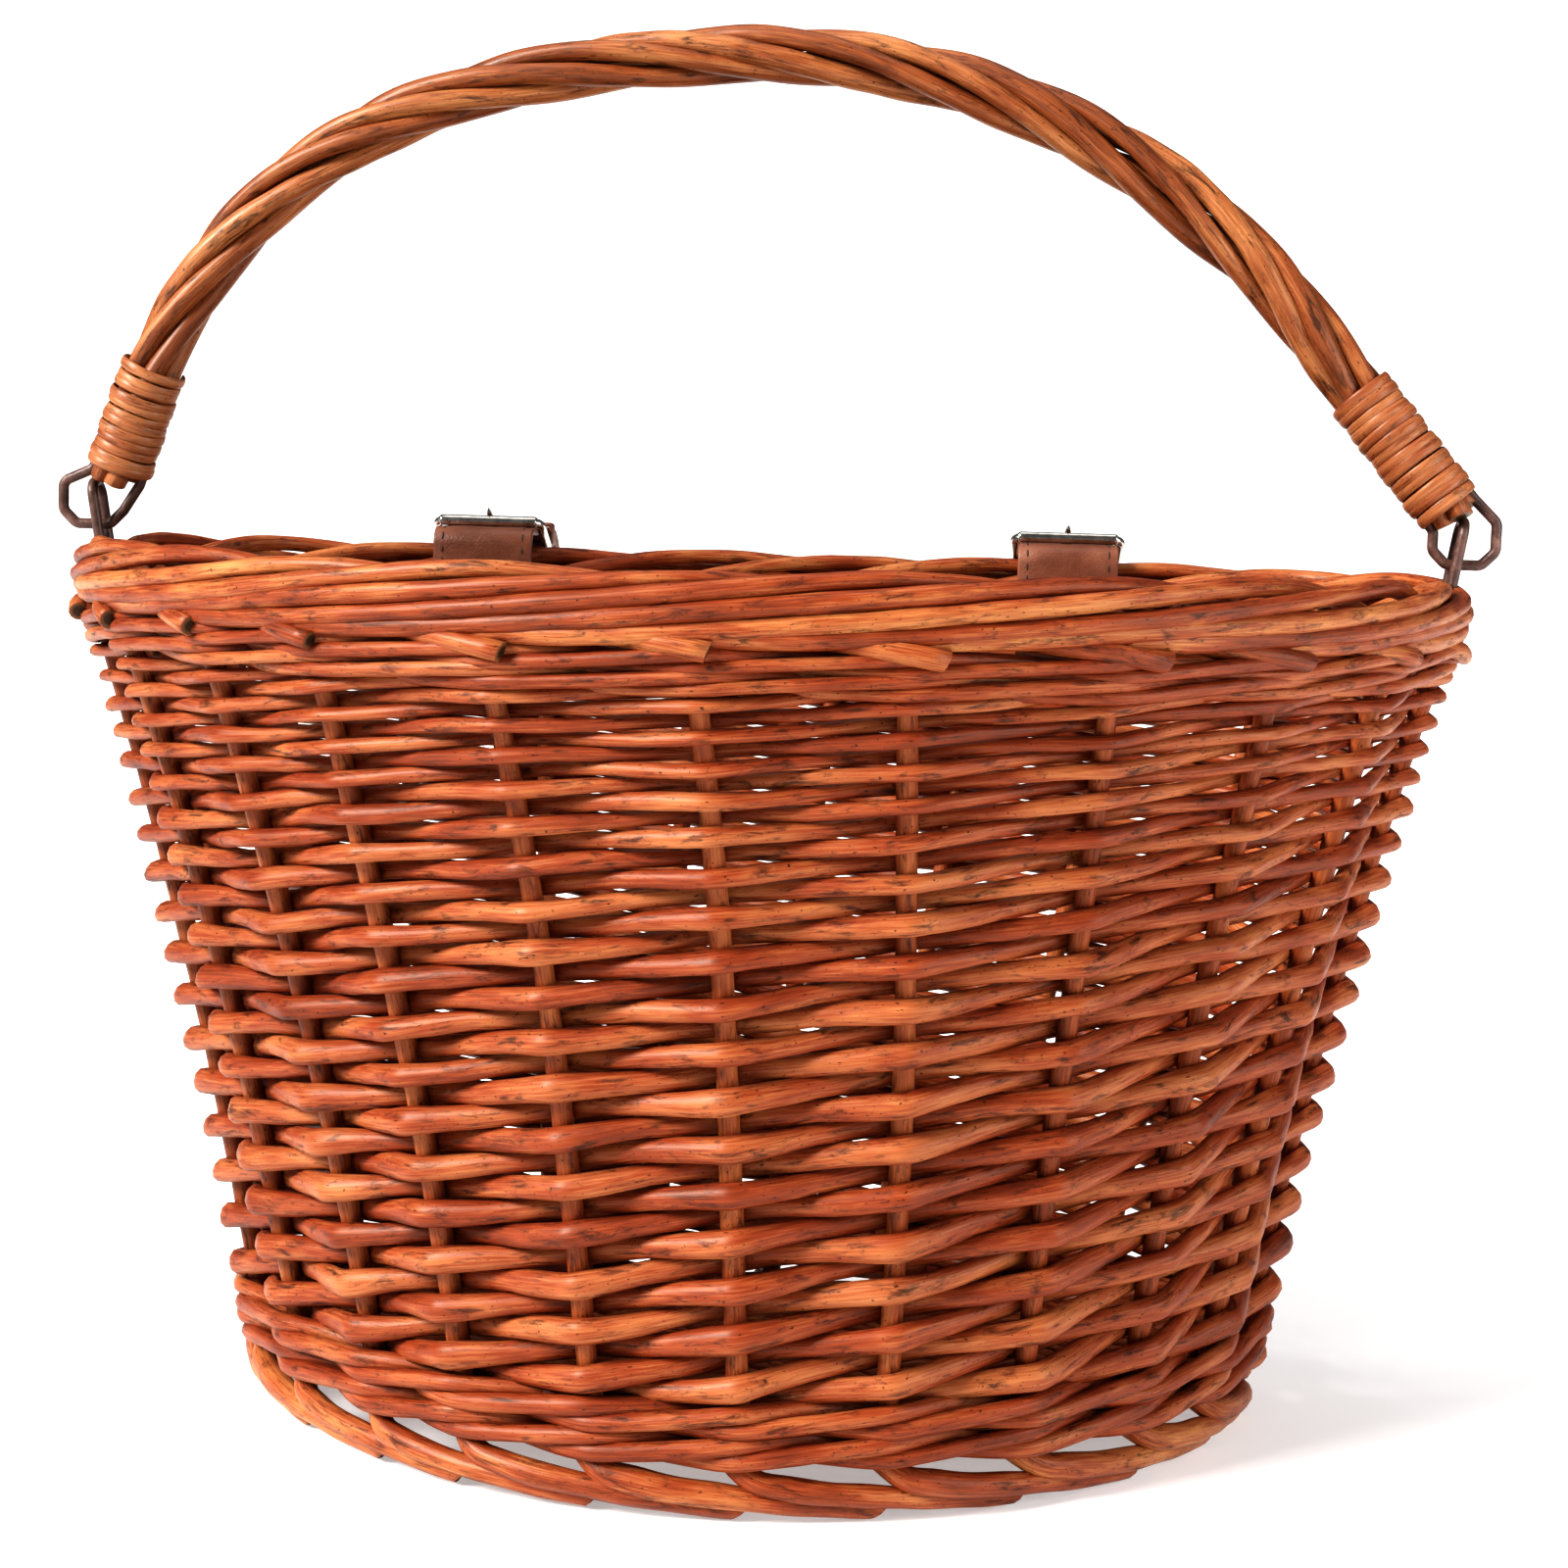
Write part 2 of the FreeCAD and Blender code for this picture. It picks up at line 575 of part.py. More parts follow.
def keeper(side, middle):
    """A flat loop round both layers of the strap, behind the buckle."""
    low = body_run - size.strap_thick / 2
    high = free_run + size.strap_thick / 2
    boxes = []
    for name, gap in (("_keeper_outer", size.keeper_gap + size.keeper_thick), ("_keeper_inner", size.keeper_gap)):
        extra = 0.0 if name.endswith("outer") else size.cut_over
        half = strap_half + gap
        corner = Vector(middle - half, size.keeper_y - extra, low - gap)
        boxes.append(add("Part::Box", side + name, Length=2 * half, Width=size.keeper_long + 2 * extra,
                         Height=high - low + 2 * gap, Placement=Placement(corner, Rotation())))
    return cut(side + "_keeper", *boxes)


for side, middle in strap_middles.items():
    keep(strap(side, middle), f"strap_{side}")
    keep(buckle_frame(side, middle), f"buckle_frame_{side}")
    keep(buckle_roller(side, middle), f"buckle_roller_{side}")
    keep(buckle_prong(side, middle), f"buckle_prong_{side}")
    keep(keeper(side, middle), f"strap_keeper_{side}")


# ---------------------------------------------------------------- check and write

doc.recompute()
faults = [obj.Name for obj in doc.Objects if {"Invalid", "Error"} & set(obj.State)]
faults += [obj.Label for obj in nodes if obj.Shape.isNull() or not obj.Shape.isValid()]
if faults:
    raise RuntimeError("objects that failed: " + ", ".join(faults))

os.makedirs("parts", exist_ok=True)
for obj in nodes:
    obj.Shape.exportStep(f"parts/{obj.Label}.step")
print(len(nodes), "sub-parts written")
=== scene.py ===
"""Looks of a willow handlebar basket. Lengths are in millimetres until a mesh is made."""
import math
import random

import bpy
import numpy as np
from mathutils import Matrix, Vector


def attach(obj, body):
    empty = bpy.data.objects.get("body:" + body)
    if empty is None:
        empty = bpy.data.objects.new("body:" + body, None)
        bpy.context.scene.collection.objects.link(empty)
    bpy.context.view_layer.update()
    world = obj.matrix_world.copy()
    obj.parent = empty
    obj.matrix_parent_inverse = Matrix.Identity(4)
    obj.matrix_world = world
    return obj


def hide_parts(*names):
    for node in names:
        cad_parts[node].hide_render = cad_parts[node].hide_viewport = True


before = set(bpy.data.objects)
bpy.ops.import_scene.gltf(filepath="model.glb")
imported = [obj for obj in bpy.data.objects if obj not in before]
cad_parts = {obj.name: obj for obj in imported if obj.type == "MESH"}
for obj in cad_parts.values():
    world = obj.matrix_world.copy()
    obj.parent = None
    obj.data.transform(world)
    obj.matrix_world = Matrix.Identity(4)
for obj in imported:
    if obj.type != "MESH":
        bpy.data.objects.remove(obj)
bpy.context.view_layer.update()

MM = 0.001
scene = bpy.context.scene
scene.view_settings.view_transform = "Standard"
scene.view_settings.look = "High Contrast"

# ---------------- sizes shared with the CAD model

# outlines: half width, reach to the front, reach to the back, corner radius, y of the corners' centres
RIM = (172.0, 125.0, 91.0, 61.5, 19.5)
BASE = (128.5, 79.0, 69.5, 40.0, 25.0)
FLARE = 0.32                # how far the wall curves from a straight slope
LEAN = 0.016                # how far the stakes lean along the outline, as a share of it
FOOT_TOP, BORDER_LOW, BORDER_HIGH = 12.0, 204.0, 220.0
FLOOR_Z = 16.5
HINGE_Y = 19.5
STRAPS = {"left": -83.0, "right": 78.4}
# stakes: how many, the middle one's place and the step between them, as shares of the outline
STAKES = 21
FRONT_STAKES, FRONT_MIDDLE, FRONT_STEP = 13, -0.0058, 0.0508
BACK_STAKES, BACK_MIDDLE, BACK_STEP = 6, 0.5037, 0.0463
SHIFTED_STAKES, STAKE_SHIFT = 4, 0.009


def stake_places():
    """Each stake's place on the outline, as a share of it counted from the middle of the front."""
    front = [FRONT_MIDDLE + FRONT_STEP * (n - FRONT_STAKES // 2) + (STAKE_SHIFT if n < SHIFTED_STAKES else 0.0)
             for n in range(FRONT_STAKES)]
    back = [BACK_MIDDLE + BACK_STEP * (n - (BACK_STAKES - 1) / 2) for n in range(BACK_STAKES)]
    right = (front[-1] + back[0]) / 2
    left = (back[-1] + front[0] + 1.0) / 2
    return front + [right] + back + [left]


PLACES = stake_places()


def flared(z):
    """How far the outline at a height has grown from the base's to the rim's."""
    level = (z - FOOT_TOP) / (BORDER_LOW - FOOT_TOP)
    return level + FLARE * (level * level - level)


def outline_arcs(share):
    """The D-shaped outline as five arcs: centre x and y, radius, start and end angle."""
    half, front, back, corner, side = [low + (high - low) * share for low, high in zip(BASE, RIM)]
    centre = half - corner
    front_radius = (centre ** 2 + (side + front) ** 2 - corner ** 2) / (2 * (side + front - corner))
    back_radius = (centre ** 2 + (back - side) ** 2 - corner ** 2) / (2 * (back - side - corner))
    front_y = front_radius - front
    back_y = back - back_radius
    low = math.atan2(side - front_y, centre)
    high = math.atan2(side - back_y, centre)
    return [(0.0, front_y, front_radius, -math.pi / 2, low), (centre, side, corner, low, high),
            (0.0, back_y, back_radius, high, math.pi - high),
            (-centre, side, corner, math.pi - high, math.pi - low),
            (0.0, front_y, front_radius, math.pi - low, 1.5 * math.pi)]


def on_outline(arcs, place):
    """A point of the outline with its outward normal."""
    lengths = [radius * (end - start) for _, _, radius, start, end in arcs]
    left = (place % 1.0) * sum(lengths)
    for (x, y, radius, start, _), length in zip(arcs, lengths):
        if left <= length:
            angle = start + left / radius
            c, s = math.cos(angle), math.sin(angle)
            return x + radius * c, y + radius * s, c, s
        left -= length
    return 0.0, arcs[0][1] - arcs[0][2], 0.0, -1.0


ARCS = {}


def arcs_at(share):
    """The outline's arcs, worked out once for each thousandth of the growth."""
    key = round(share, 3)
    if key not in ARCS:
        ARCS[key] = outline_arcs(key)
    return ARCS[key]


def stake_place(number, share):
    """A stake's place on the outline; numbers past the last go round again."""
    return PLACES[number % STAKES] + number // STAKES + LEAN * (1.0 - share)


def wall(s, z, out=0.0, chord=0.65, share=None):
    """A point of the wall at stake number s (with fractions) and height z, moved outwards.

    chord is 0 on the smooth outline and 1 on the straight line from stake to stake.
    """
    share = flared(z) if share is None else share
    arcs = arcs_at(share)
    k = math.floor(s)
    f = s - k
    start, end = stake_place(k, share), stake_place(k + 1, share)
    xa, ya, _, _ = on_outline(arcs, start)
    xb, yb, _, _ = on_outline(arcs, end)
    xc, yc, nx, ny = on_outline(arcs, start + (end - start) * f)
    x = chord * (xa + (xb - xa) * f) + (1 - chord) * xc
    y = chord * (ya + (yb - ya) * f) + (1 - chord) * yc
    return (x + nx * out, y + ny * out, z)


# ---------------- meshes

class Bundle:
    """Collects rods and makes one mesh of them, with the attributes that the willow material reads."""

    def __init__(self):
        self.verts, self.faces, self.grain, self.tint, self.cut = [], [], [], [], []

    def add(self, verts, faces, grain, tint, cut):
        start = len(self.verts)
        self.verts.extend(verts)
        self.faces.extend(tuple(start + i for i in f) for f in faces)
        self.grain.extend(grain)
        self.tint.extend([tint] * len(verts))
        self.cut.extend(cut)

    def build(self, name, material):
        mesh = bpy.data.meshes.new(name)
        mesh.from_pydata([(x * MM, y * MM, z * MM) for x, y, z in self.verts], [], self.faces)
        mesh.polygons.foreach_set("use_smooth", [True] * len(mesh.polygons))
        vector = mesh.attributes.new("grain", "FLOAT_VECTOR", "POINT")
        vector.data.foreach_set("vector", np.asarray(self.grain, dtype=np.float32).ravel())
        for word, values in (("tint", self.tint), ("cut", self.cut)):
            layer = mesh.attributes.new(word, "FLOAT", "POINT")
            layer.data.foreach_set("value", np.asarray(values, dtype=np.float32))
        mesh.update()
        obj = bpy.data.objects.new(name, mesh)
        scene.collection.objects.link(obj)
        mesh.materials.append(material)
        return obj


def transported(points, first):
    """Tangents and two cross directions along a path."""
    tangents = np.gradient(points, axis=0)
    tangents /= np.linalg.norm(tangents, axis=1)[:, None]
    normals = np.empty_like(points)
    normal = np.asarray(first, float)
    for n, tangent in enumerate(tangents):
        normal = normal - tangent * normal.dot(tangent)
        normal /= np.linalg.norm(normal)
        normals[n] = normal
    return tangents, normals, np.cross(tangents, normals)


def tube_faces(rows, sides, closed=False):
    """Faces between rings of points; closed joins the last ring to the first."""
    return [(r * sides + n, r * sides + (n + 1) % sides, q * sides + (n + 1) % sides, q * sides + n)
            for r in range(rows if closed else rows - 1) for q in [(r + 1) % rows] for n in range(sides)]


def rod(bundle, points, radii, rng, sides=10, first=(0, 0, 1), squash=1.0, rough=0.035, normals=None,
        caps=True, slant=(0.0, 0.0)):
    """A rod along a path, slightly uneven, with cut ends.

    first or normals say which way its first cross direction points, squash widens it that way,
    rough is how uneven its thickness is, and slant tilts the cuts at its two ends.
    """
    points = np.asarray(points, float)
    radii = np.broadcast_to(np.asarray(radii, float), (len(points),)).copy()
    squash = np.broadcast_to(np.asarray(squash, float), (len(points),))
    if normals is None:
        tangents, side_a, side_b = transported(points, first)
    else:
        tangents = np.gradient(points, axis=0)
        tangents /= np.linalg.norm(tangents, axis=1)[:, None]
        side_a = normals - tangents * (normals * tangents).sum(1)[:, None]
        side_a /= np.linalg.norm(side_a, axis=1)[:, None]
        side_b = np.cross(tangents, side_a)
    along = np.concatenate([[0.0], np.cumsum(np.linalg.norm(np.diff(points, axis=0), axis=1))])
    waves = [(rng.uniform(0.05, 0.12), rng.uniform(0, 6.3)), (rng.uniform(0.2, 0.45), rng.uniform(0, 6.3))]
    radii *= 1.0 + rough * sum(np.sin(along * f + p) for f, p in waves)
    tint = rng.random()
    seed = np.array([rng.uniform(-400, 400), rng.uniform(-90, 90), rng.uniform(-90, 90)])
    theta = np.arange(sides) * 2 * math.pi / sides
    lump = 1.0 + 0.03 * np.sin(2 * theta + rng.uniform(0, 6.3)) + 0.02 * np.sin(3 * theta + rng.uniform(0, 6.3))
    verts, grain, cut = [], [], []

    def ring(centre, a, b, radius, flat, s, tangent, lean, share):
        for angle, bulge in zip(theta, lump):
            ca, sa = math.cos(angle) * bulge, math.sin(angle) * bulge
            p = centre + a * (radius * flat * ca) + b * (radius * sa) + tangent * (lean * radius * ca)
            verts.append(tuple(p))
            grain.append((s + seed[0], radius * ca + seed[1], radius * sa + seed[2]))
            cut.append(share)

    def cap(end, steps):
        """The rounded edge and face of a cut end: share of the radius, step outwards, depth into the pith."""
        for size, step, share in steps:
            ring(points[end] + tangents[end] * step, side_a[end], side_b[end], radii[end] * size, squash[end],
                 along[end] + step, tangents[end], slant[end], share)

    if caps:
        cap(0, ((0.45, -0.12, 1.0), (0.9, -0.10, 0.9)))
    for n in range(len(points)):
        lean = slant[0] if n == 0 else slant[1] if n == len(points) - 1 else 0.0
        ring(points[n], side_a[n], side_b[n], radii[n], squash[n], along[n], tangents[n], lean, 0.0)
    if caps:
        cap(-1, ((0.9, 0.10, 0.9), (0.45, 0.12, 1.0)))
    rows = len(verts) // sides
    faces = tube_faces(rows, sides)
    faces.append(tuple(range(sides - 1, -1, -1)))
    faces.append(tuple((rows - 1) * sides + n for n in range(sides)))
    bundle.add(verts, faces, grain, tint, cut)


def smooth(values):
    """Each point moved towards its neighbours, apart from the two ends."""
    values = np.asarray(values, float).copy()
    values[1:-1] = (values[:-2] + 2 * values[1:-1] + values[2:]) / 4
    return values


def knots(x, table):
    """Reads a value at x from (x, value) pairs with smooth joins."""
    xs = np.array([a for a, _ in table])
    ys = np.array([b for _, b in table])
    slopes = np.gradient(ys, xs)
    x = np.clip(np.asarray(x, float), xs[0], xs[-1])
    n = np.clip(np.searchsorted(xs, x, side="right") - 1, 0, len(xs) - 2)
    h = xs[n + 1] - xs[n]
    t = (x - xs[n]) / h
    return ((2 * t ** 3 - 3 * t ** 2 + 1) * ys[n] + (t ** 3 - 2 * t ** 2 + t) * h * slopes[n]
            + (-2 * t ** 3 + 3 * t ** 2) * ys[n + 1] + (t ** 3 - t ** 2) * h * slopes[n + 1])


# ---------------- materials

def new_material(name):
    """A new material, its node tree and its shader."""
    material = bpy.data.materials.new(name)
    material.use_nodes = True
    tree = material.node_tree
    shader = tree.nodes["Principled BSDF"]
    return material, tree, shader


def node(tree, kind, **values):
    """A new node; values named in_Socket_Name set its inputs, and the others its own settings."""
    made = tree.nodes.new(kind)
    for key, value in values.items():
        if key.startswith("in_"):
            made.inputs[key[3:].replace("_", " ")].default_value = value
        else:
            setattr(made, key, value)
    return made


def ramp(tree, source, stops):
    """Colours by value, from (value, colour) stops."""
    made = tree.nodes.new("ShaderNodeValToRGB")
    band = made.color_ramp
    while len(band.elements) < len(stops):
        band.elements.new(0.5)
    for element, (at, colour) in zip(band.elements, stops):
        element.position = at
        element.color = colour if len(colour) == 4 else (*colour, 1.0)
    tree.links.new(source, made.inputs["Fac"])
    return made.outputs["Color"]


def grey(value):
    return (value, value, value, 1.0)


def mix(tree, factor, a, b):
    """Colour a turning into colour b by a factor."""
    made = tree.nodes.new("ShaderNodeMix")
    made.data_type = "RGBA"
    for socket, value in ((made.inputs[0], factor), (made.inputs[6], a), (made.inputs[7], b)):
        if isinstance(value, bpy.types.NodeSocket):
            tree.links.new(value, socket)
        else:
            socket.default_value = (*value, 1.0)
    return made.outputs[2]


def stretched(tree, vector, scale, detail, rough=0.55, distort=0.0):
    """Noise on coordinates stretched by a scale on each axis."""
    mapping = node(tree, "ShaderNodeMapping", in_Scale=scale)
    tree.links.new(vector, mapping.inputs["Vector"])
    noise = node(tree, "ShaderNodeTexNoise", in_Scale=1.0, in_Detail=detail, in_Roughness=rough,
                 in_Distortion=distort)
    tree.links.new(mapping.outputs["Vector"], noise.inputs["Vector"])
    return noise.outputs["Fac"]


def cloud(tree, scale, detail):
    """Even noise in the object's own coordinates, in metres."""
    noise = node(tree, "ShaderNodeTexNoise", in_Scale=scale, in_Detail=detail, in_Roughness=0.55)
    tree.links.new(object_vector(tree), noise.inputs["Vector"])
    return noise.outputs["Fac"]


def object_vector(tree):
    return node(tree, "ShaderNodeTexCoord").outputs["Object"]


def maths(tree, operation, a, b):
    made = node(tree, "ShaderNodeMath", operation=operation)
    for socket, value in zip(made.inputs, (a, b)):
        if isinstance(value, bpy.types.NodeSocket):
            tree.links.new(value, socket)
        else:
            socket.default_value = value
    return made.outputs[0]


def scaled(tree, value, times, plus=0.0):
    """value * times + plus"""
    made = maths(tree, "MULTIPLY", value, times)
    return maths(tree, "ADD", made, plus) if plus else made


def raised(tree, shader, height, strength, distance):
    """Bumps the surface by a height, up to a distance in metres."""
    bump = node(tree, "ShaderNodeBump", in_Strength=strength, in_Distance=distance)
    tree.links.new(height, bump.inputs["Height"])
    tree.links.new(bump.outputs["Normal"], shader.inputs["Normal"])


def shaded(colour, share):
    return tuple(channel * share for channel in colour)


CUT_WOOD = (0.22, 0.10, 0.045)


def willow(name, dark, middle, light, stain, gloss):
    """Varnished willow: long fibres, drifting stain, dark bark flecks and specks."""
    material, tree, shader = new_material(name)
    grain = node(tree, "ShaderNodeAttribute", attribute_name="grain").outputs["Vector"]
    tint = node(tree, "ShaderNodeAttribute", attribute_name="tint").outputs["Fac"]
    cut = node(tree, "ShaderNodeAttribute", attribute_name="cut").outputs["Fac"]
    drift = stretched(tree, grain, (0.035, 0.16, 0.16), 3.0)
    fibre = stretched(tree, grain, (0.09, 2.4, 2.4), 5.0, 0.6)
    fleck = stretched(tree, grain, (0.11, 0.50, 0.50), 5.0, 0.68, 0.5)
    speck = stretched(tree, grain, (0.8, 1.7, 1.7), 2.0, 0.5)
    end_grain = stretched(tree, grain, (0.2, 3.5, 3.5), 2.0)
    # how pale the wood is: slow drift along the rod, the rod's own tint, and its fibres
    level = maths(tree, "ADD", scaled(tree, drift, 0.62), scaled(tree, tint, 0.13))
    level = maths(tree, "ADD", level, scaled(tree, fibre, 0.55))
    level = maths(tree, "SUBTRACT", level, 0.15)
    colour = ramp(tree, level, [(0.25, dark), (0.47, middle), (0.76, light)])
    flecks = ramp(tree, fleck, [(0.54, grey(0.0)), (0.68, grey(1.0))])
    colour = mix(tree, scaled(tree, flecks, stain), colour, shaded(dark, 0.35))
    specks = ramp(tree, speck, [(0.67, grey(0.0)), (0.72, grey(1.0))])
    colour = mix(tree, scaled(tree, specks, 0.85), colour, shaded(dark, 0.18))
    # a cut end: end grain round a dark pith
    end = ramp(tree, end_grain, [(0.3, shaded(CUT_WOOD, 0.45)), (0.75, CUT_WOOD)])
    pith = ramp(tree, cut, [(0.93, grey(0.0)), (0.99, grey(1.0))])
    end = mix(tree, pith, end, shaded(CUT_WOOD, 0.16))
    colour = mix(tree, ramp(tree, cut, [(0.25, grey(0.0)), (0.85, grey(1.0))]), colour, end)
    tree.links.new(colour, shader.inputs["Base Color"])
    rough = maths(tree, "ADD", scaled(tree, fibre, 0.25, 0.36), scaled(tree, flecks, 0.12))
    tree.links.new(rough, shader.inputs["Roughness"])
    shader.inputs["Coat Weight"].default_value = gloss
    shader.inputs["Coat Roughness"].default_value = 0.34
    shader.inputs["Coat Tint"].default_value = (1.0, 0.94, 0.88, 1.0)
    shader.inputs["Specular IOR Level"].default_value = 0.33
    shader.inputs["Specular Tint"].default_value = (1.0, 0.80, 0.62, 1.0)
    height = maths(tree, "ADD", scaled(tree, fibre, 0.5), scaled(tree, drift, 0.7))
    height = maths(tree, "SUBTRACT", height, scaled(tree, flecks, 0.25))
    raised(tree, shader, height, 0.55, 0.0005)
    return material


# dark, middle and light wood, how strong the flecks are, how glossy the varnish is
WEAVE, STAKE, BORDER, FLOOR, HANDLE, CANE = (willow(*row) for row in (
    ("willow_weave", (0.072, 0.011, 0.004), (0.235, 0.044, 0.013), (0.46, 0.182, 0.070), 0.85, 0.16),
    ("willow_stake", (0.072, 0.012, 0.004), (0.230, 0.050, 0.014), (0.44, 0.160, 0.055), 0.85, 0.15),
    ("willow_border", (0.080, 0.012, 0.004), (0.255, 0.052, 0.015), (0.54, 0.245, 0.090), 0.85, 0.20),
    ("willow_floor", (0.072, 0.012, 0.004), (0.230, 0.050, 0.014), (0.44, 0.160, 0.055), 0.85, 0.08),
    ("willow_handle", (0.076, 0.018, 0.006), (0.235, 0.068, 0.021), (0.50, 0.230, 0.092), 0.85, 0.35),
    ("split_cane", (0.095, 0.022, 0.007), (0.245, 0.072, 0.025), (0.46, 0.210, 0.090), 0.60, 0.35)))


def clouded(name, noise_scale, detail, stops, roughness):
    """A material whose colour and roughness drift with one noise; roughness is (times, plus)."""
    material, tree, shader = new_material(name)
    drift = cloud(tree, noise_scale, detail)
    tree.links.new(ramp(tree, drift, stops), shader.inputs["Base Color"])
    tree.links.new(scaled(tree, drift, *roughness), shader.inputs["Roughness"])
    return material, tree, shader, drift


def leather():
    stops = [(0.3, (0.130, 0.040, 0.018)), (0.55, (0.190, 0.066, 0.034)), (0.75, (0.270, 0.110, 0.064))]
    material, tree, shader, drift = clouded("strap_leather", 90.0, 4.0, stops, (0.25, 0.32))
    pores = node(tree, "ShaderNodeTexVoronoi", in_Scale=1500.0)
    tree.links.new(object_vector(tree), pores.inputs["Vector"])
    height = maths(tree, "ADD", scaled(tree, pores.outputs["Distance"], 0.6), scaled(tree, drift, 0.8))
    raised(tree, shader, height, 0.35, 0.0003)
    return material


def coated_wire():
    stops = [(0.3, (0.045, 0.020, 0.014)), (0.55, (0.105, 0.050, 0.038)), (0.78, (0.20, 0.11, 0.09))]
    material, tree, shader, drift = clouded("coated_wire", 260.0, 4.0, stops, (0.3, 0.28))
    raised(tree, shader, drift, 0.5, 0.0006)
    return material


def plated():
    stops = [(0.3, (0.42, 0.40, 0.37)), (0.7, (0.66, 0.64, 0.60))]
    material, _, shader, _ = clouded("plated", 400.0, 4.0, stops, (0.2, 0.10))
    shader.inputs["Metallic"].default_value = 1.0
    return material


def thread():
    material, tree, shader = new_material("thread")
    colour = ramp(tree, cloud(tree, 2600.0, 2.0), [(0.3, (0.020, 0.010, 0.007)), (0.7, (0.075, 0.038, 0.026))])
    tree.links.new(colour, shader.inputs["Base Color"])
    shader.inputs["Roughness"].default_value = 0.7
    return material


LEATHER, WIRE, PLATED, THREAD = leather(), coated_wire(), plated(), thread()


def settle(obj, body, slot, *nodes):
    """Rides a piece on its body and hides the CAD nodes that it stands for; slot, the name of its finish, is not used.
    """
    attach(obj, body)
    if nodes:
        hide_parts(*nodes)


# ---------------- stakes

ANY_PHASE = 6.3             # a random start anywhere in a wave
STAKE_LOW, STAKE_HIGH = 15.0, 209.0
STAKE_RADII = (2.75, 2.35)  # at the foot and at the top

rng = random.Random(4107)
for number in range(STAKES):
    bundle = Bundle()
    heights = np.linspace(STAKE_LOW, STAKE_HIGH, 30)
    sway = rng.uniform(0, ANY_PHASE)
    points = [wall(number + 0.012 * math.sin(z / 31.0 + sway), z, 0.0, 0.0, min(flared(z), 1.0)) for z in heights]
    rod(bundle, points, np.linspace(*STAKE_RADII, len(heights)), rng, first=(0, 1, 0))
    settle(bundle.build(f"stake_{number + 1:02d}", STAKE), "basket", "stakes", f"side_stake_{number + 1:02d}")


# ---------------- side weave
# A rod starts at every stake and climbs one row at each stake that it passes, in front of one
# and behind the next, so all the strokes on the outside rise to the right.

ROWS = 34
ROW_LIFT = [(-1.0, 28.6), (0.0, 34.4), (8.0, 80.5), (18.0, 134.5), (24.0, 162.5), (34.0, 198.0)]
ROW_STEPS = np.linspace(-1.0, ROWS, 421)
ROW_HEIGHTS = knots(ROW_STEPS, ROW_LIFT)
SPREAD = (-0.5, -0.38, -0.25, -0.14, -0.07, -0.03, 0.0, 0.03, 0.07, 0.14, 0.25, 0.38)  # samples round a stake
STAKE_HALF = 2.45           # how far a rod's inner side stands out where it passes a stake
WEAVE_CHORD = 0.5
WEAVE_THICK = 0.465         # a weaver's radius as a share of the distance between rows
TIGHT = 0.03                # how sharply a weaver bends at a stake
# height errors that neighbouring rows share: size, waves round the basket, drift by row, start
WAVER = [(0.6, 2, 0.05, 1.3), (0.4, 5, 0.11, 4.0), (0.25, 9, 0.4, 2.2), (0.2, 17, 1.1, 0.5)]


def row_height(row):
    return float(np.interp(row, ROW_STEPS, ROW_HEIGHTS))


def row_pitch(row):
    row = min(max(row, -0.5), ROWS - 0.5)
    return row_height(row + 0.5) - row_height(row - 0.5)


def fold(u):
    """0 at a stake, 1 midway between stakes, with a sharp but rounded bend at the stake."""
    return (math.sqrt(u * u + TIGHT * TIGHT) - TIGHT) / (math.sqrt(0.25 + TIGHT * TIGHT) - TIGHT)


def waver(s, row):
    return sum(size * math.sin(s * 2 * math.pi / STAKES * turns + row * drift + start)
               for size, turns, drift, start in WAVER)


for first in range(STAKES):
    samples = [k + u for k in range(-1, ROWS + 1) for u in SPREAD if -0.95 <= k + u <= ROWS - 0.75]
    nudges = [(rng.uniform(-0.35, 0.35), rng.uniform(0.94, 1.06)) for _ in range(ROWS + 1)]
    fat = rng.uniform(0.95, 1.05)
    points, radii, flats = [], [], []
    for row in samples:
        k = round(row)
        nudge, swell = nudges[k]
        sign = 1.0 if k % 2 == 0 else -1.0
        bend = 1.0 - fold(row - k)
        radius = row_pitch(row) * WEAVE_THICK * fat * (1.0 + (swell - 1.0) * bend)
        out = sign * bend * (STAKE_HALF + radius * 0.9)
        s = first + row
        z = row_height(row) + nudge * bend + waver(s, row)
        points.append(wall(s, z, out, WEAVE_CHORD))
        radii.append(radius * (1.0 - 0.10 * bend))
        flats.append((1.0 + 0.24 * bend) / (1.0 - 0.10 * bend))
    bundle = Bundle()
    rod(bundle, points, radii, rng, first=(0, 0, 1), squash=flats)
    settle(bundle.build(f"weaver_{first + 1:02d}", WEAVE), "basket", "weave", "side_weave")


# ---------------- wales of three rods

def climb(turn):
    """A wale stays level and steps up at the end of each round."""
    whole = math.floor(turn)
    share = min(max((turn - whole - 0.9) / 0.1, 0.0), 1.0)
    return whole + share * share * (3 - 2 * share)


WALE_START, WALE_ROUNDS = 16, 2
WALE_LENGTHS = (15, 18, 21)         # stakes that one rod reaches before the next is spliced in
# by stakes passed: how far out the rod is, and how high within the band
WALE_OUT = [(-0.5, 0.0), (0.0, -1.0), (0.5, 0.0), (1.0, 1.0), (1.5, 1.10), (2.0, 1.0), (2.5, 0.0), (3.0, -1.0),
            (3.5, 0.0)]
WALE_LIFT = [(-0.5, 0.5), (0.0, 0.0), (0.5, -0.52), (1.0, -0.5), (1.5, 0.0), (2.0, 0.5), (2.5, 0.52), (3.0, 0.0),
             (3.5, -0.52)]


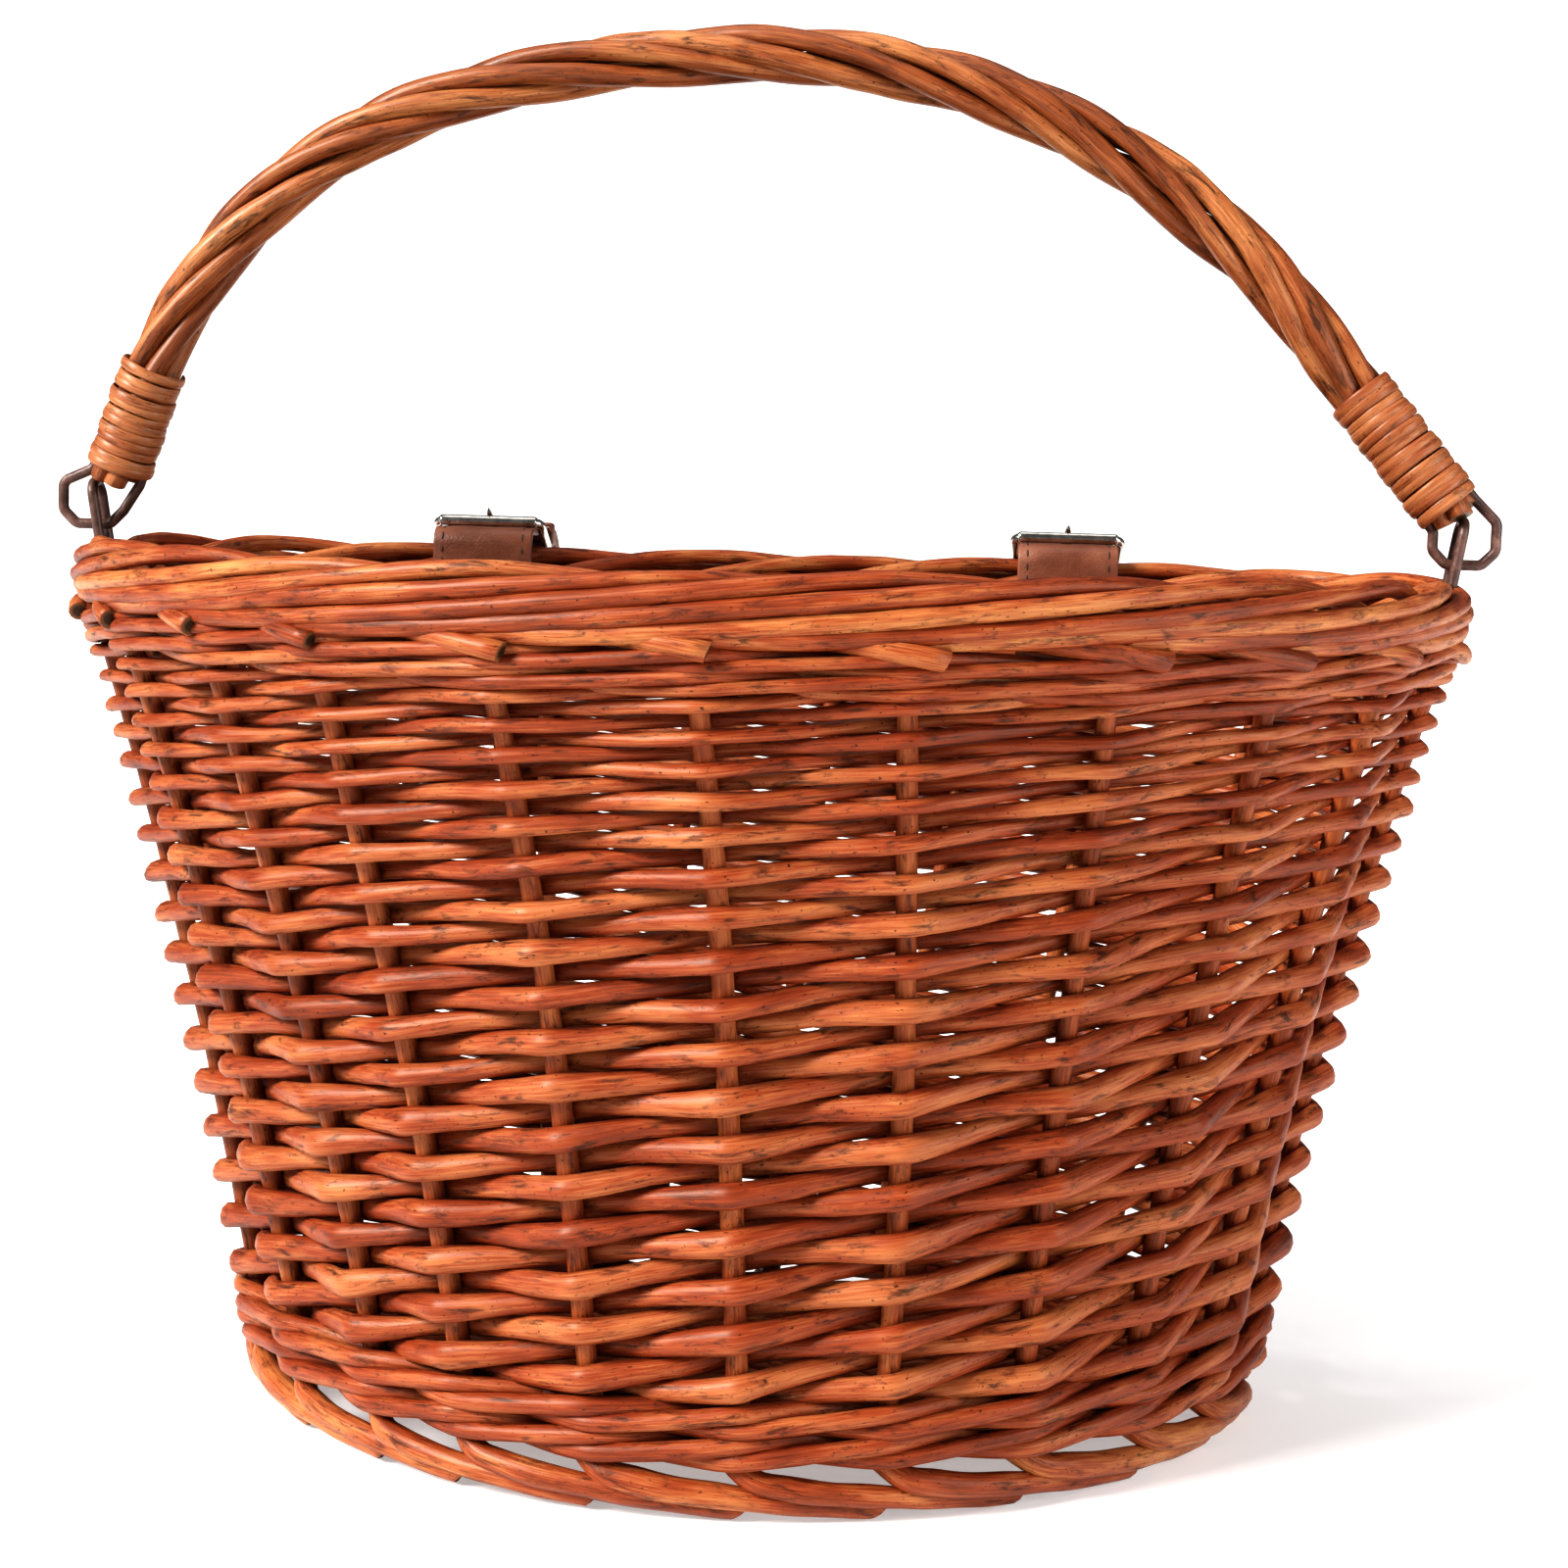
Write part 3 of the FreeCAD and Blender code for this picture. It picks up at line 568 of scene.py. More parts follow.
def wale(name, first_height, radius, rise):
    """Three rods that each pass in front of two stakes and behind one."""
    total = STAKES * WALE_ROUNDS
    for strand in range(3):
        begin = WALE_START + strand
        piece = 0
        while begin < WALE_START + total:
            end = min(begin + rng.choice(WALE_LENGTHS), WALE_START + strand + total)
            piece += 1
            samples = [k + u for k in range(begin, end + 1) for u in SPREAD
                       if begin - 0.4 <= k + u <= end + 0.4]
            fat = rng.uniform(0.94, 1.06)
            points, radii = [], []
            for s in samples:
                phase = (s - WALE_START - strand) % 3.0
                row = (s - WALE_START) / STAKES
                size = radius * fat * (1.05 - 0.1 * (s - begin) / (end - begin))
                out = float(knots(phase, WALE_OUT)) * (STAKE_HALF + size * 0.95)
                z = first_height + rise * climb(row) + float(knots(phase, WALE_LIFT)) * 2 * radius * 0.86
                z += waver(s, row) * 0.6
                points.append(wall(s, z, out))
                radii.append(size)
            bundle = Bundle()
            rod(bundle, smooth(points), radii, rng, first=(0, 0, 1))
            settle(bundle.build(f"{name}_{strand + 1}_{piece}", WEAVE), "basket", "weave", name)
            begin = end


wale("bottom_wale", 18.0, 2.3, 7.4)
wale("top_wale", 196.0, 1.65, 4.4)


# ---------------- rolled border

# Each stake turns down into the plait. Tables by stakes passed: height, distance outwards, radius.

BORDER_Z = (BORDER_LOW + BORDER_HIGH) / 2
BORDER_LIFT = [(-0.25, -3.5), (-0.08, -6.2), (0.2, -6.6), (0.9, -5.4), (1.8, -2.6), (2.7, 0.8), (3.4, 3.9),
               (3.85, 5.5), (4.3, 5.0), (4.7, 2.6), (5.1, -1.5), (5.4, -5.0), (5.65, -7.4), (5.9, -8.6), (6.2, -10.8)]
BORDER_REACH = [(-0.25, -1.0), (-0.08, 2.0), (0.2, 2.9), (0.9, 3.4), (1.8, 4.3), (2.7, 4.4), (3.4, 3.0),
                (3.85, 0.8), (4.3, -2.8), (4.7, -4.6), (5.1, -4.9), (5.4, -3.6), (5.65, 0.5), (5.9, 3.8), (6.2, 4.9)]
BORDER_RADII = [(-0.25, 2.2), (0.4, 2.35), (2.1, 2.3), (3.8, 2.15), (5.2, 2.15), (6.2, 2.4)]
for number in range(STAKES):
    steps = np.linspace(BORDER_LIFT[0][0], BORDER_LIFT[-1][0] + rng.uniform(-0.12, 0.06), 86)
    wobble = rng.uniform(0, ANY_PHASE)
    points = []
    for t, dz, out in zip(steps, knots(steps, BORDER_LIFT), knots(steps, BORDER_REACH)):
        s = number + t
        z = BORDER_Z + dz + 0.55 * math.sin(s * 1.3 + wobble) + 0.5 * math.sin(s * 2 * math.pi / STAKES * 3 + 1.0)
        points.append(wall(s, z, out, 0.2, 1.0))
    radii = knots(steps, BORDER_RADII) * rng.uniform(0.95, 1.05)
    bundle = Bundle()
    rod(bundle, smooth(points), radii, rng, first=(0, 0, 1), sides=12, slant=(0.0, 0.25))
    settle(bundle.build(f"border_rod_{number + 1:02d}", BORDER), "basket", "border", "top_border")


# ---------------- foot border

FOOT_LIFT = [(-0.15, 17.5), (0.0, 13.4), (0.1, 10.9), (0.35, 8.9), (1.0, 6.2), (1.6, 4.2), (2.1, 2.8)]
FOOT_REACH = [(-0.15, -2.5), (0.0, 0.2), (0.1, 2.0), (0.35, 2.9), (1.0, 2.0), (1.6, 0.8), (2.1, -0.4)]
FOOT_RADII = [(-0.15, 2.5), (0.15, 2.95), (1.2, 2.8), (1.8, 2.6), (2.1, 2.4)]
for number in range(STAKES):
    steps = np.linspace(FOOT_LIFT[0][0], FOOT_LIFT[-1][0] + rng.uniform(-0.12, 0.1), 40)
    shift = rng.uniform(-0.08, 0.08)
    points = [wall(number + t + shift, z, out, 0.3, 0.0)
              for t, z, out in zip(steps, knots(steps, FOOT_LIFT), knots(steps, FOOT_REACH))]
    radii = knots(steps, FOOT_RADII) * rng.uniform(0.95, 1.05)
    bundle = Bundle()
    rod(bundle, smooth(points), radii, rng, first=(0, 0, 1), sides=12, slant=(0.0, 0.9))
    settle(bundle.build(f"foot_rod_{number + 1:02d}", BORDER), "basket", "border", "foot_border")


# ---------------- floor

STICKS, STICK_STEP, STICK_RADIUS, STICK_INSET = 9, 24.0, 2.1, 6.0
FLOOR_FRONT, FLOOR_BACK, LINE_STEP = -67.0, 60.0, 3.35
LINE_RADIUS, LINE_INSET, LINE_SWAY, SHORTEST_LINE = 1.62, 7.2, 2.7, 8.0


def floor_span(y, inset):
    """The floor's half width at a distance from front to back."""
    arcs = arcs_at(flared(FLOOR_Z))
    best = 0.0
    for n in range(720):
        x, py, nx, ny = on_outline(arcs, n / 720)
        px, py = x - nx * inset, py - ny * inset
        if abs(py - y) < 1.3:
            best = max(best, abs(px))
    return best


STICK_X = [STICK_STEP * (n - STICKS // 2) for n in range(STICKS)]
STICK_SPANS = [(y, floor_span(y, STICK_INSET)) for y in np.arange(-80.0, 75.0, 1.0)]
bundle = Bundle()
for x in STICK_X:
    inside = [y for y, span in STICK_SPANS if span >= abs(x)]
    points = [(x + 0.4 * math.sin(y / 17.0 + x), y, FLOOR_Z) for y in np.linspace(inside[0], inside[-1], 26)]
    rod(bundle, points, STICK_RADIUS, rng, first=(0, 0, 1))
settle(bundle.build("floor_sticks", FLOOR), "basket", "stakes", "base_sticks")

bundle = Bundle()
depth = FLOOR_FRONT
line = 0
while depth < FLOOR_BACK:
    span = floor_span(depth, LINE_INSET)
    if span > SHORTEST_LINE:
        points = []
        for x in np.arange(-span, span + 0.1, 3.0):
            sway = math.cos(math.pi * ((x - STICK_X[0]) / STICK_STEP + line))
            points.append((x, depth + 0.5 * math.sin(x / 21.0 + line), FLOOR_Z + LINE_SWAY * sway))
        rod(bundle, points, LINE_RADIUS * rng.uniform(0.92, 1.08), rng, first=(0, 1, 0), sides=8)
    depth += LINE_STEP
    line += 1
settle(bundle.build("floor_weave", FLOOR), "basket", "weave", "base_weave")


# ---------------- handle

CROWN_RADIUS, CROWN_X, CROWN_TOP = 271.6, -2.7, 345.7
# shoulders: degrees from the top where the arc starts, its radius, how many degrees it turns
LEFT_ARC, RIGHT_ARC = (17.6, 120.8, 54.0), (1.0, 174.5, 49.0)
LEG_END = 236.4             # height of the rods' lower ends


def polar(centre, radius, degrees):
    angle = math.radians(degrees)
    return centre[0] + radius * math.cos(angle), centre[1] + radius * math.sin(angle)


def arch_pieces():
    """The handle's middle line from left to right, as straight legs and arcs."""
    crown = (CROWN_X, CROWN_TOP - CROWN_RADIUS)
    left_high, right_high = 90 + LEFT_ARC[0], 90 - RIGHT_ARC[0]
    left_low, right_low = left_high + LEFT_ARC[2], right_high - RIGHT_ARC[2]
    left = polar(crown, CROWN_RADIUS - LEFT_ARC[1], left_high)
    right = polar(crown, CROWN_RADIUS - RIGHT_ARC[1], right_high)
    pieces = [("arc", left, LEFT_ARC[1], left_low, left_high), ("arc", crown, CROWN_RADIUS, left_high, right_high),
              ("arc", right, RIGHT_ARC[1], right_high, right_low)]
    ends = []
    for centre, radius, low in ((left, LEFT_ARC[1], left_low), (right, RIGHT_ARC[1], right_low)):
        top = polar(centre, radius, low)
        angle = math.radians(low)
        along = (math.sin(angle), -math.cos(angle))
        ends.append((top, along, (top[1] - LEG_END) / abs(along[1])))
    top, along, length = ends[0]
    pieces.insert(0, ("line", (top[0] - along[0] * length, top[1] - along[1] * length), along, length))
    pieces.append(("line",) + ends[1])
    return pieces


PIECES = arch_pieces()
ARCH = sum(p[3] if p[0] == "line" else p[2] * math.radians(p[3] - p[4]) for p in PIECES)


def arch_at(s):
    """Point, tangent and outward normal of the handle's middle line, as (x, z) pairs."""
    left = s
    for n, p in enumerate(PIECES):
        length = p[3] if p[0] == "line" else p[2] * math.radians(p[3] - p[4])
        if left <= length or n == len(PIECES) - 1:
            if p[0] == "line":
                (x, z), (dx, dz) = p[1], p[2]
                return (x + dx * left, z + dz * left), (dx, dz), (-dz, dx)
            angle = p[3] - math.degrees(left / p[2])
            point = polar(p[1], p[2], angle)
            normal = (math.cos(math.radians(angle)), math.sin(math.radians(angle)))
            return point, (normal[1], -normal[0]), normal
        left -= length
    return None


def beside_arch(s, ring, alpha):
    """A point at a distance and an angle round the handle's middle line."""
    (x, z), _, (nx, nz) = arch_at(s)
    radial = ring * math.cos(alpha)
    return x + nx * radial, HINGE_Y + ring * math.sin(alpha), z + nz * radial


TWIST = 140.0               # length of one turn
# angle round the handle, radius, distance from its middle; the fourth lies inside the others
STRANDS = [(0.0, 2.85, 4.65), (74.0, 2.60, 4.65), (143.0, 2.80, 4.60), (0.0, 0.95, 1.0), (216.0, 2.65, 4.65),
           (288.0, 2.70, 4.60)]
HELD_LEFT, HELD_RIGHT, EASE = 20.0, 26.0, 30.0      # the bindings hold the ends tight
SWELL, SWELL_PLACE, SWELL_LENGTH = 0.16, 0.74, 0.13
HEART_RADIUS, HEART_RING, HEART_ANGLE = 0.95, 0.9, 2.6
for number, (angle, radius, ring) in enumerate(STRANDS, start=1):
    steps = np.linspace(-rng.uniform(0.5, 3.0), ARCH + rng.uniform(0.5, 3.0), 190)
    loose = rng.uniform(0, ANY_PHASE)
    points = []
    for s in steps:
        free = min(1.0, max(0.0, min(s - HELD_LEFT, ARCH - HELD_RIGHT - s) / EASE))
        swell = 1.0 + free * (SWELL * math.exp(-((s / ARCH - SWELL_PLACE) / SWELL_LENGTH) ** 2)
                              + 0.05 * math.sin(s / 27.0 + loose))
        alpha = math.radians(angle - 40.0) - 2 * math.pi * s / TWIST + 0.12 * free * math.sin(s / 33.0 + loose)
        points.append(beside_arch(s, ring * swell * (0.86 + 0.14 * free), alpha))
    radii = radius * (1.0 + 0.06 * np.cos(np.linspace(0, math.pi, len(steps)) + (number % 2) * math.pi))
    bundle = Bundle()
    rod(bundle, points, radii, rng, first=(0, 1, 0), sides=14, slant=(0.3, 0.3))
    settle(bundle.build(f"handle_strand_{number}", HANDLE), "handle", "handle", f"handle_rod_{number}")
bundle = Bundle()
steps = np.linspace(2.0, ARCH - 2.0, 120)
rod(bundle, [beside_arch(s, HEART_RING, HEART_ANGLE) for s in steps], HEART_RADIUS, rng, first=(0, 1, 0))
settle(bundle.build("handle_heart", HANDLE), "handle", "handle", "handle_core")


CANE_WIDTH = 0.57           # half width of the cane as a share of the distance between turns
CANE_FLAT = 0.34            # its thickness as a share of its width
TURN_STEPS = 26


def binding(side, first, last, radii, turns, lean):
    """Split cane wound round the rods and the shanks of the wire link, from first to last along the handle."""
    bundle = Bundle()
    points, normals = [], []
    for share in np.linspace(0.0, 1.0, int(turns * TURN_STEPS)):
        turn = share * turns
        alpha = -2 * math.pi * turn
        s = first + (last - first) * share + lean * math.sin(alpha + 0.6) + 0.38 * math.sin(turn * 2.9)
        ring = radii[0] + (radii[1] - radii[0]) * share + 0.22 * math.sin(turn * 1.7 + 0.5)
        ring *= 1.0 + 0.05 * math.cos(2 * alpha)
        points.append(beside_arch(s, ring, alpha))
        normals.append(np.subtract(points[-1], beside_arch(s, 0.0, alpha)))
    width = (last - first) / turns * CANE_WIDTH
    rod(bundle, points, width, rng, sides=12, squash=CANE_FLAT, normals=np.array(normals), rough=0.05)
    settle(bundle.build(f"binding_{side}", CANE), "handle", "binding", f"handle_binding_{side}")


binding("left", 1.2, 28.0, (7.75, 7.65), 11.6, 1.3)
binding("right", ARCH - 37.0, ARCH - 1.2, (7.65, 7.85), 13.6, 1.1)


# ---------------- straps and buckles

HEEL = (98.2, 218.75)       # y and z of the buckle's heel bar
ROLLER = (82.7, 225.8)
ROLLER_RADIUS, PRONG_RADIUS = 1.5, 0.8
TILT = math.degrees(math.atan2(ROLLER[1] - HEEL[1], HEEL[0] - ROLLER[0]))
BUCKLE_LENGTH = math.hypot(HEEL[0] - ROLLER[0], HEEL[1] - ROLLER[1])
BAR_Y, BAR_R = 115.2, 12.7  # the handlebar
THICK, WIDE = 2.0, 27.4     # the leather
SLACK, LAYER_GAP = 0.1, 0.15
HEEL_FOLD = 1.1 + SLACK + THICK / 2
BODY_RUN = HEEL[1] + 1.1 + SLACK + THICK / 2        # z of the lower layer over the heel bar
FREE_RUN = BODY_RUN + THICK + LAYER_GAP             # z of the upper layer
BODY_BEND = BAR_R + SLACK + THICK / 2
FREE_BEND = BODY_BEND + THICK + LAYER_GAP
BAR_Z = BODY_RUN - BODY_BEND
LOW_RUN = BAR_Z - BODY_BEND
INNER_RUN, CORNER = 73.8, 4.0                       # y of the run down inside the wall
HOLE_ANGLES, HOLE_RADIUS, HOLE_DEPTH = (62.0, 40.0, 18.0), 1.25, 3.4
SLOT_HALF, SLOT_FRONT, SLOT_BACK = 1.6, 88.0, 100.8     # where the prong passes through
TAIL_ANGLE, TAIL_LENGTH, TAIL_TURN = 300.0, 3.5, 30.0   # the end that is stitched under the heel bar
TIP_LENGTH, EDGE_RADIUS = 9.0, 0.55
STITCH_STEP, STITCH_LENGTH, STITCH_RADIUS, STITCH_EDGE = 3.3, 2.3, 0.32, 2.6
STITCH_START, STITCH_STOP = 26.0, 11.0


def strap_line():
    """Points of the strap's middle line seen from the side, from stitched tail to free tip."""
    points = []

    def arc(centre, radius, begin, end):
        count = max(4, int(abs(end - begin) / 9))
        points.extend(polar(centre, radius, begin + (end - begin) * n / count) for n in range(count + 1))

    def run(end, count):
        y, z = points[-1]
        points.extend((y + (end[0] - y) * n / count, z + (end[1] - z) * n / count) for n in range(1, count + 1))

    first = polar(HEEL, HEEL_FOLD, TAIL_ANGLE)
    points.append(polar(first, TAIL_LENGTH, TAIL_TURN))
    run(first, 2)
    arc(HEEL, HEEL_FOLD, TAIL_ANGLE, 90.0)
    run((BAR_Y, BODY_RUN), 6)
    arc((BAR_Y, BAR_Z), BODY_BEND, 90.0, -90.0)
    run((INNER_RUN + CORNER, LOW_RUN), 10)
    arc((INNER_RUN + CORNER, LOW_RUN + CORNER), CORNER, 270.0, 180.0)
    run((INNER_RUN, FREE_RUN - CORNER), 6)
    arc((INNER_RUN + CORNER, FREE_RUN - CORNER), CORNER, 180.0, 90.0)
    run((BAR_Y, FREE_RUN), 12)
    arc((BAR_Y, BAR_Z), FREE_BEND, 90.0, -25.0)
    kept = [points[0]]
    for p in points[1:]:
        if math.dist(p, kept[-1]) > 0.05:
            kept.append(p)
    return np.array(kept)


def strap(side, middle):
    """A strap with rolled edges, a slot for the prong, and punched holes."""
    line = strap_line()
    tangents = np.gradient(line, axis=0)
    tangents /= np.linalg.norm(tangents, axis=1)[:, None]
    normals = np.stack([-tangents[:, 1], tangents[:, 0]], axis=1)
    half, thin, soft = WIDE / 2, THICK / 2, EDGE_RADIUS
    profile = []
    for cx, cz, begin in ((half - soft, thin - soft, 0), (-half + soft, thin - soft, 90),
                          (-half + soft, -thin + soft, 180), (half - soft, -thin + soft, 270)):
        profile += [(cx + soft * math.cos(math.radians(begin + a)), cz + soft * math.sin(math.radians(begin + a)))
                    for a in (0, 30, 60, 90)]
    verts, count = [], len(profile)
    length = np.concatenate([[0.0], np.cumsum(np.linalg.norm(np.diff(line, axis=0), axis=1))])
    for (y, z), (ny, nz), s in zip(line, normals, length):
        left = length[-1] - s
        narrow = 1.0
        if left <= TIP_LENGTH:
            narrow = 0.62 + 0.38 * math.sqrt(max(0.0, 1 - (1 - left / TIP_LENGTH) ** 2))
        for a, b in profile:
            verts.append(((middle + a * narrow) * MM, (y + ny * b) * MM, (z + nz * b) * MM))
    rows = len(line)
    faces = [(a, d, c, b) for a, b, c, d in tube_faces(rows, count)]
    faces.append(tuple(range(count)))
    faces.append(tuple((rows - 1) * count + n for n in range(count - 1, -1, -1)))
    obj = plain(f"strap_band_{side}", verts, faces, LEATHER)
    cutters = [box_cutter((middle - SLOT_HALF, SLOT_FRONT, HEEL[1] - 4.5),
                          (middle + SLOT_HALF, SLOT_BACK, FREE_RUN + THICK))]
    for angle in HOLE_ANGLES:
        y, z = polar((BAR_Y, BAR_Z), FREE_BEND, angle)
        cutters.append(round_cutter((middle, y, z), HOLE_RADIUS, HOLE_DEPTH, angle))
    for cutter in cutters:
        change = obj.modifiers.new("cut", "BOOLEAN")
        change.operation = "DIFFERENCE"
        change.solver = "EXACT"
        change.object = cutter
    bpy.context.view_layer.update()
    done = bpy.data.meshes.new_from_object(obj.evaluated_get(bpy.context.evaluated_depsgraph_get()))
    obj.modifiers.clear()
    done.name = f"strap_band_{side}"
    obj.data = done
    for cutter in cutters:
        bpy.data.objects.remove(cutter)
    done.polygons.foreach_set("use_smooth", [True] * len(done.polygons))
    done.set_sharp_from_angle(angle=math.radians(40))
    settle(obj, "basket", "strap", f"strap_{side}")
    stitches(side, middle, line, normals, length)


def box_cutter(low, high):
    """A box between two corners."""
    verts = [((high if n & 1 else low)[0] * MM, (high if n & 2 else low)[1] * MM, (high if n & 4 else low)[2] * MM)
             for n in range(8)]
    faces = [(0, 2, 3, 1), (4, 5, 7, 6), (0, 1, 5, 4), (2, 6, 7, 3), (0, 4, 6, 2), (1, 3, 7, 5)]
    return plain("cutter", verts, faces)


def round_cutter(centre, radius, long, angle):
    """A cylinder whose axis points away from the handlebar at an angle, long to each side."""
    axis = np.array([0.0, math.cos(math.radians(angle)), math.sin(math.radians(angle))])
    a = np.array([1.0, 0.0, 0.0])
    b = np.cross(axis, a)
    verts, sides = [], 24
    for end in (-long, long):
        for n in range(sides):
            t = 2 * math.pi * n / sides
            p = np.array(centre) + axis * end + radius * (a * math.cos(t) + b * math.sin(t))
            verts.append(tuple(p * MM))
    faces = [(n, (n + 1) % sides, sides + (n + 1) % sides, sides + n) for n in range(sides)]
    faces += [tuple(range(sides - 1, -1, -1)), tuple(range(sides, 2 * sides))]
    return plain("cutter", verts, faces)


def plain(name, verts, faces, material=None, smooth=False):
    """An object from points in metres."""
    mesh = bpy.data.meshes.new(name)
    mesh.from_pydata(verts, [], faces)
    mesh.polygons.foreach_set("use_smooth", [smooth] * len(mesh.polygons))
    if material:
        mesh.materials.append(material)
    obj = bpy.data.objects.new(name, mesh)
    scene.collection.objects.link(obj)
    return obj


def stitches(side, middle, line, normals, length):
    """A row of saddle stitches along both edges of the strap's outer face."""
    bundle = Bundle()
    for edge in (-1, 1):
        x = middle + edge * (WIDE / 2 - STITCH_EDGE)
        s = STITCH_START
        while s < length[-1] - STITCH_STOP:
            path = []
            for n in range(6):
                at = s + STITCH_LENGTH * n / 5
                y, z = np.interp(at, length, line[:, 0]), np.interp(at, length, line[:, 1])
                ny, nz = np.interp(at, length, normals[:, 0]), np.interp(at, length, normals[:, 1])
                rise = THICK / 2 - 0.35 + 0.27 * math.sin(math.pi * n / 5)
                path.append((x, y + ny * rise, z + nz * rise))
            rod(bundle, path, STITCH_RADIUS, rng, sides=6, first=(1, 0, 0), caps=False, rough=0.0)
            s += STITCH_STEP
    settle(bundle.build(f"strap_stitches_{side}", THREAD), "basket", "strap")


def buckle(side, middle):
    """A chrome roller buckle: a bent wire frame, its roller and its prong."""
    ahead = np.array([0.0, -math.cos(math.radians(TILT)), math.sin(math.radians(TILT))])
    across = np.array([1.0, 0.0, 0.0])
    heel = np.array([middle, *HEEL])
    half = WIDE / 2 + 0.3 + 0.8
    corners = [(-half, 0.0), (half, 0.0), (half, BUCKLE_LENGTH), (-half, BUCKLE_LENGTH)]
    flat = []
    for n, ((cx, cy), bend) in enumerate(zip(corners, (1.6, 1.6, 3.0, 3.0))):
        px, py = corners[n - 1]
        qx, qy = corners[(n + 1) % 4]
        back = np.array([px - cx, py - cy]) / math.dist((px, py), (cx, cy))
        onward = np.array([qx - cx, qy - cy]) / math.dist((qx, qy), (cx, cy))
        centre = np.array([cx, cy]) + (back + onward) * bend
        for k in range(8):
            t = k / 7 * math.pi / 2
            flat.append(centre - onward * bend * math.cos(t) - back * bend * math.sin(t))
        turned = flat[-1]
        far = np.array([qx, qy]) - turned
        flat.extend(turned + far * k / 5 * 0.9 for k in range(1, 5))
    metal_loop(f"buckle_loop_{side}", [heel + across * x + ahead * y for x, y in flat], f"buckle_frame_{side}")

    bundle = Bundle()
    ends = [(13.55, ROLLER_RADIUS - 0.25), (13.3, ROLLER_RADIUS - 0.08)]
    xs = [-x for x, _ in ends] + list(np.linspace(-12.9, 12.9, 14)) + [x for x, _ in ends[::-1]]
    sizes = [size for _, size in ends] + [ROLLER_RADIUS] * 14 + [size for _, size in ends[::-1]]
    rod(bundle, [(middle + x, *ROLLER) for x in xs], sizes, rng, sides=28, first=(0, 0, 1), rough=0.0)
    settle(bundle.build(f"roller_{side}", PLATED), f"roller_{side}", "buckle", f"buckle_roller_{side}")

    lift = ROLLER_RADIUS + LAYER_GAP + PRONG_RADIUS
    rise = math.radians(TILT) + math.asin(lift / BUCKLE_LENGTH)
    point = np.array([0.0, -math.cos(rise), math.sin(rise)])
    up = np.array([0.0, math.sin(rise), math.cos(rise)])
    long = math.sqrt(BUCKLE_LENGTH ** 2 - lift ** 2) + 2.5
    bundle = Bundle()
    curl = [heel + 1.55 * (point * math.cos(a) + up * math.sin(a))
            for a in np.linspace(math.radians(40), math.radians(345), 22)]
    rod(bundle, curl, 0.42, rng, sides=12, squash=2.2, first=(1, 0, 0), rough=0.0)
    path = [heel + point * s + up * (0.35 * math.sin(math.pi * (s / long))) for s in np.linspace(1.2, long, 22)]
    sizes = np.concatenate([np.linspace(0.86, PRONG_RADIUS, 18), [0.74, 0.64, 0.48, 0.25]])
    rod(bundle, path, sizes, rng, sides=14, first=(1, 0, 0), rough=0.0)
    settle(bundle.build(f"prong_{side}", PLATED), f"prong_{side}", "buckle", f"buckle_prong_{side}")


FRAME_RADIUS, FRAME_WIDEN, FRAME_SIDES = 1.02, 1.25, 16


def metal_loop(name, path, cad_node):
    """A closed loop of metal, a little wider than it is thick."""
    points = np.array(path)
    tangents = np.roll(points, -1, axis=0) - np.roll(points, 1, axis=0)
    tangents /= np.linalg.norm(tangents, axis=1)[:, None]
    side_a = np.cross(points[8] - points[0], points[20] - points[0])
    side_a /= np.linalg.norm(side_a)
    verts = []
    for p, t in zip(points, tangents):
        b = np.cross(t, side_a)
        for n in range(FRAME_SIDES):
            a = 2 * math.pi * n / FRAME_SIDES
            verts.append(tuple((p + side_a * FRAME_RADIUS * FRAME_WIDEN * math.cos(a)
                                + b * FRAME_RADIUS * math.sin(a)) * MM))
    obj = plain(name, verts, tube_faces(len(points), FRAME_SIDES, closed=True), PLATED, smooth=True)
    settle(obj, "basket", "buckle", cad_node)


KEEPER_Y, KEEPER_LONG, KEEPER_THICK, KEEPER_GAP, KEEPER_EDGE = 103.2, 4.5, 1.2, 0.25, 0.35


def keeper(side, middle):
    """A narrow leather loop round both layers."""
    low, high = BODY_RUN - THICK / 2 - KEEPER_GAP, FREE_RUN + THICK / 2 + KEEPER_GAP
    half = WIDE / 2 + KEEPER_GAP
    outline, steps = [], 6
    for cx, cz, begin in ((half, high, 0), (-half, high, 90), (-half, low, 180), (half, low, 270)):
        for k in range(steps):
            a = math.radians(begin + 90 * k / (steps - 1))
            outline.append((cx, cz, math.cos(a), math.sin(a)))
    long, thick, edge = KEEPER_LONG, KEEPER_THICK, KEEPER_EDGE
    profile = [(0.02, 0.25), (0.3, 0.0), (long - 0.3, 0.0), (long - 0.02, 0.25), (long, thick - edge),
               (long - edge, thick), (edge, thick), (0.0, thick - edge)]
    verts = [((middle + cx + nx * out) * MM, (KEEPER_Y + y) * MM, (cz + nz * out) * MM)
             for cx, cz, nx, nz in outline for y, out in profile]
    obj = plain(f"keeper_loop_{side}", verts, tube_faces(len(outline), len(profile), closed=True), LEATHER, smooth=True)
    obj.data.set_sharp_from_angle(angle=math.radians(50))
    settle(obj, f"keeper_{side}", "strap", f"strap_keeper_{side}")


for side, middle in STRAPS.items():
    strap(side, middle)
    buckle(side, middle)
    keeper(side, middle)
    for word in ("handle_ring", "rim_eye"):
        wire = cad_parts[f"{word}_{side}"]
        wire.data.materials.clear()
        wire.data.materials.append(WIRE)


# ---------------- stage, light and camera

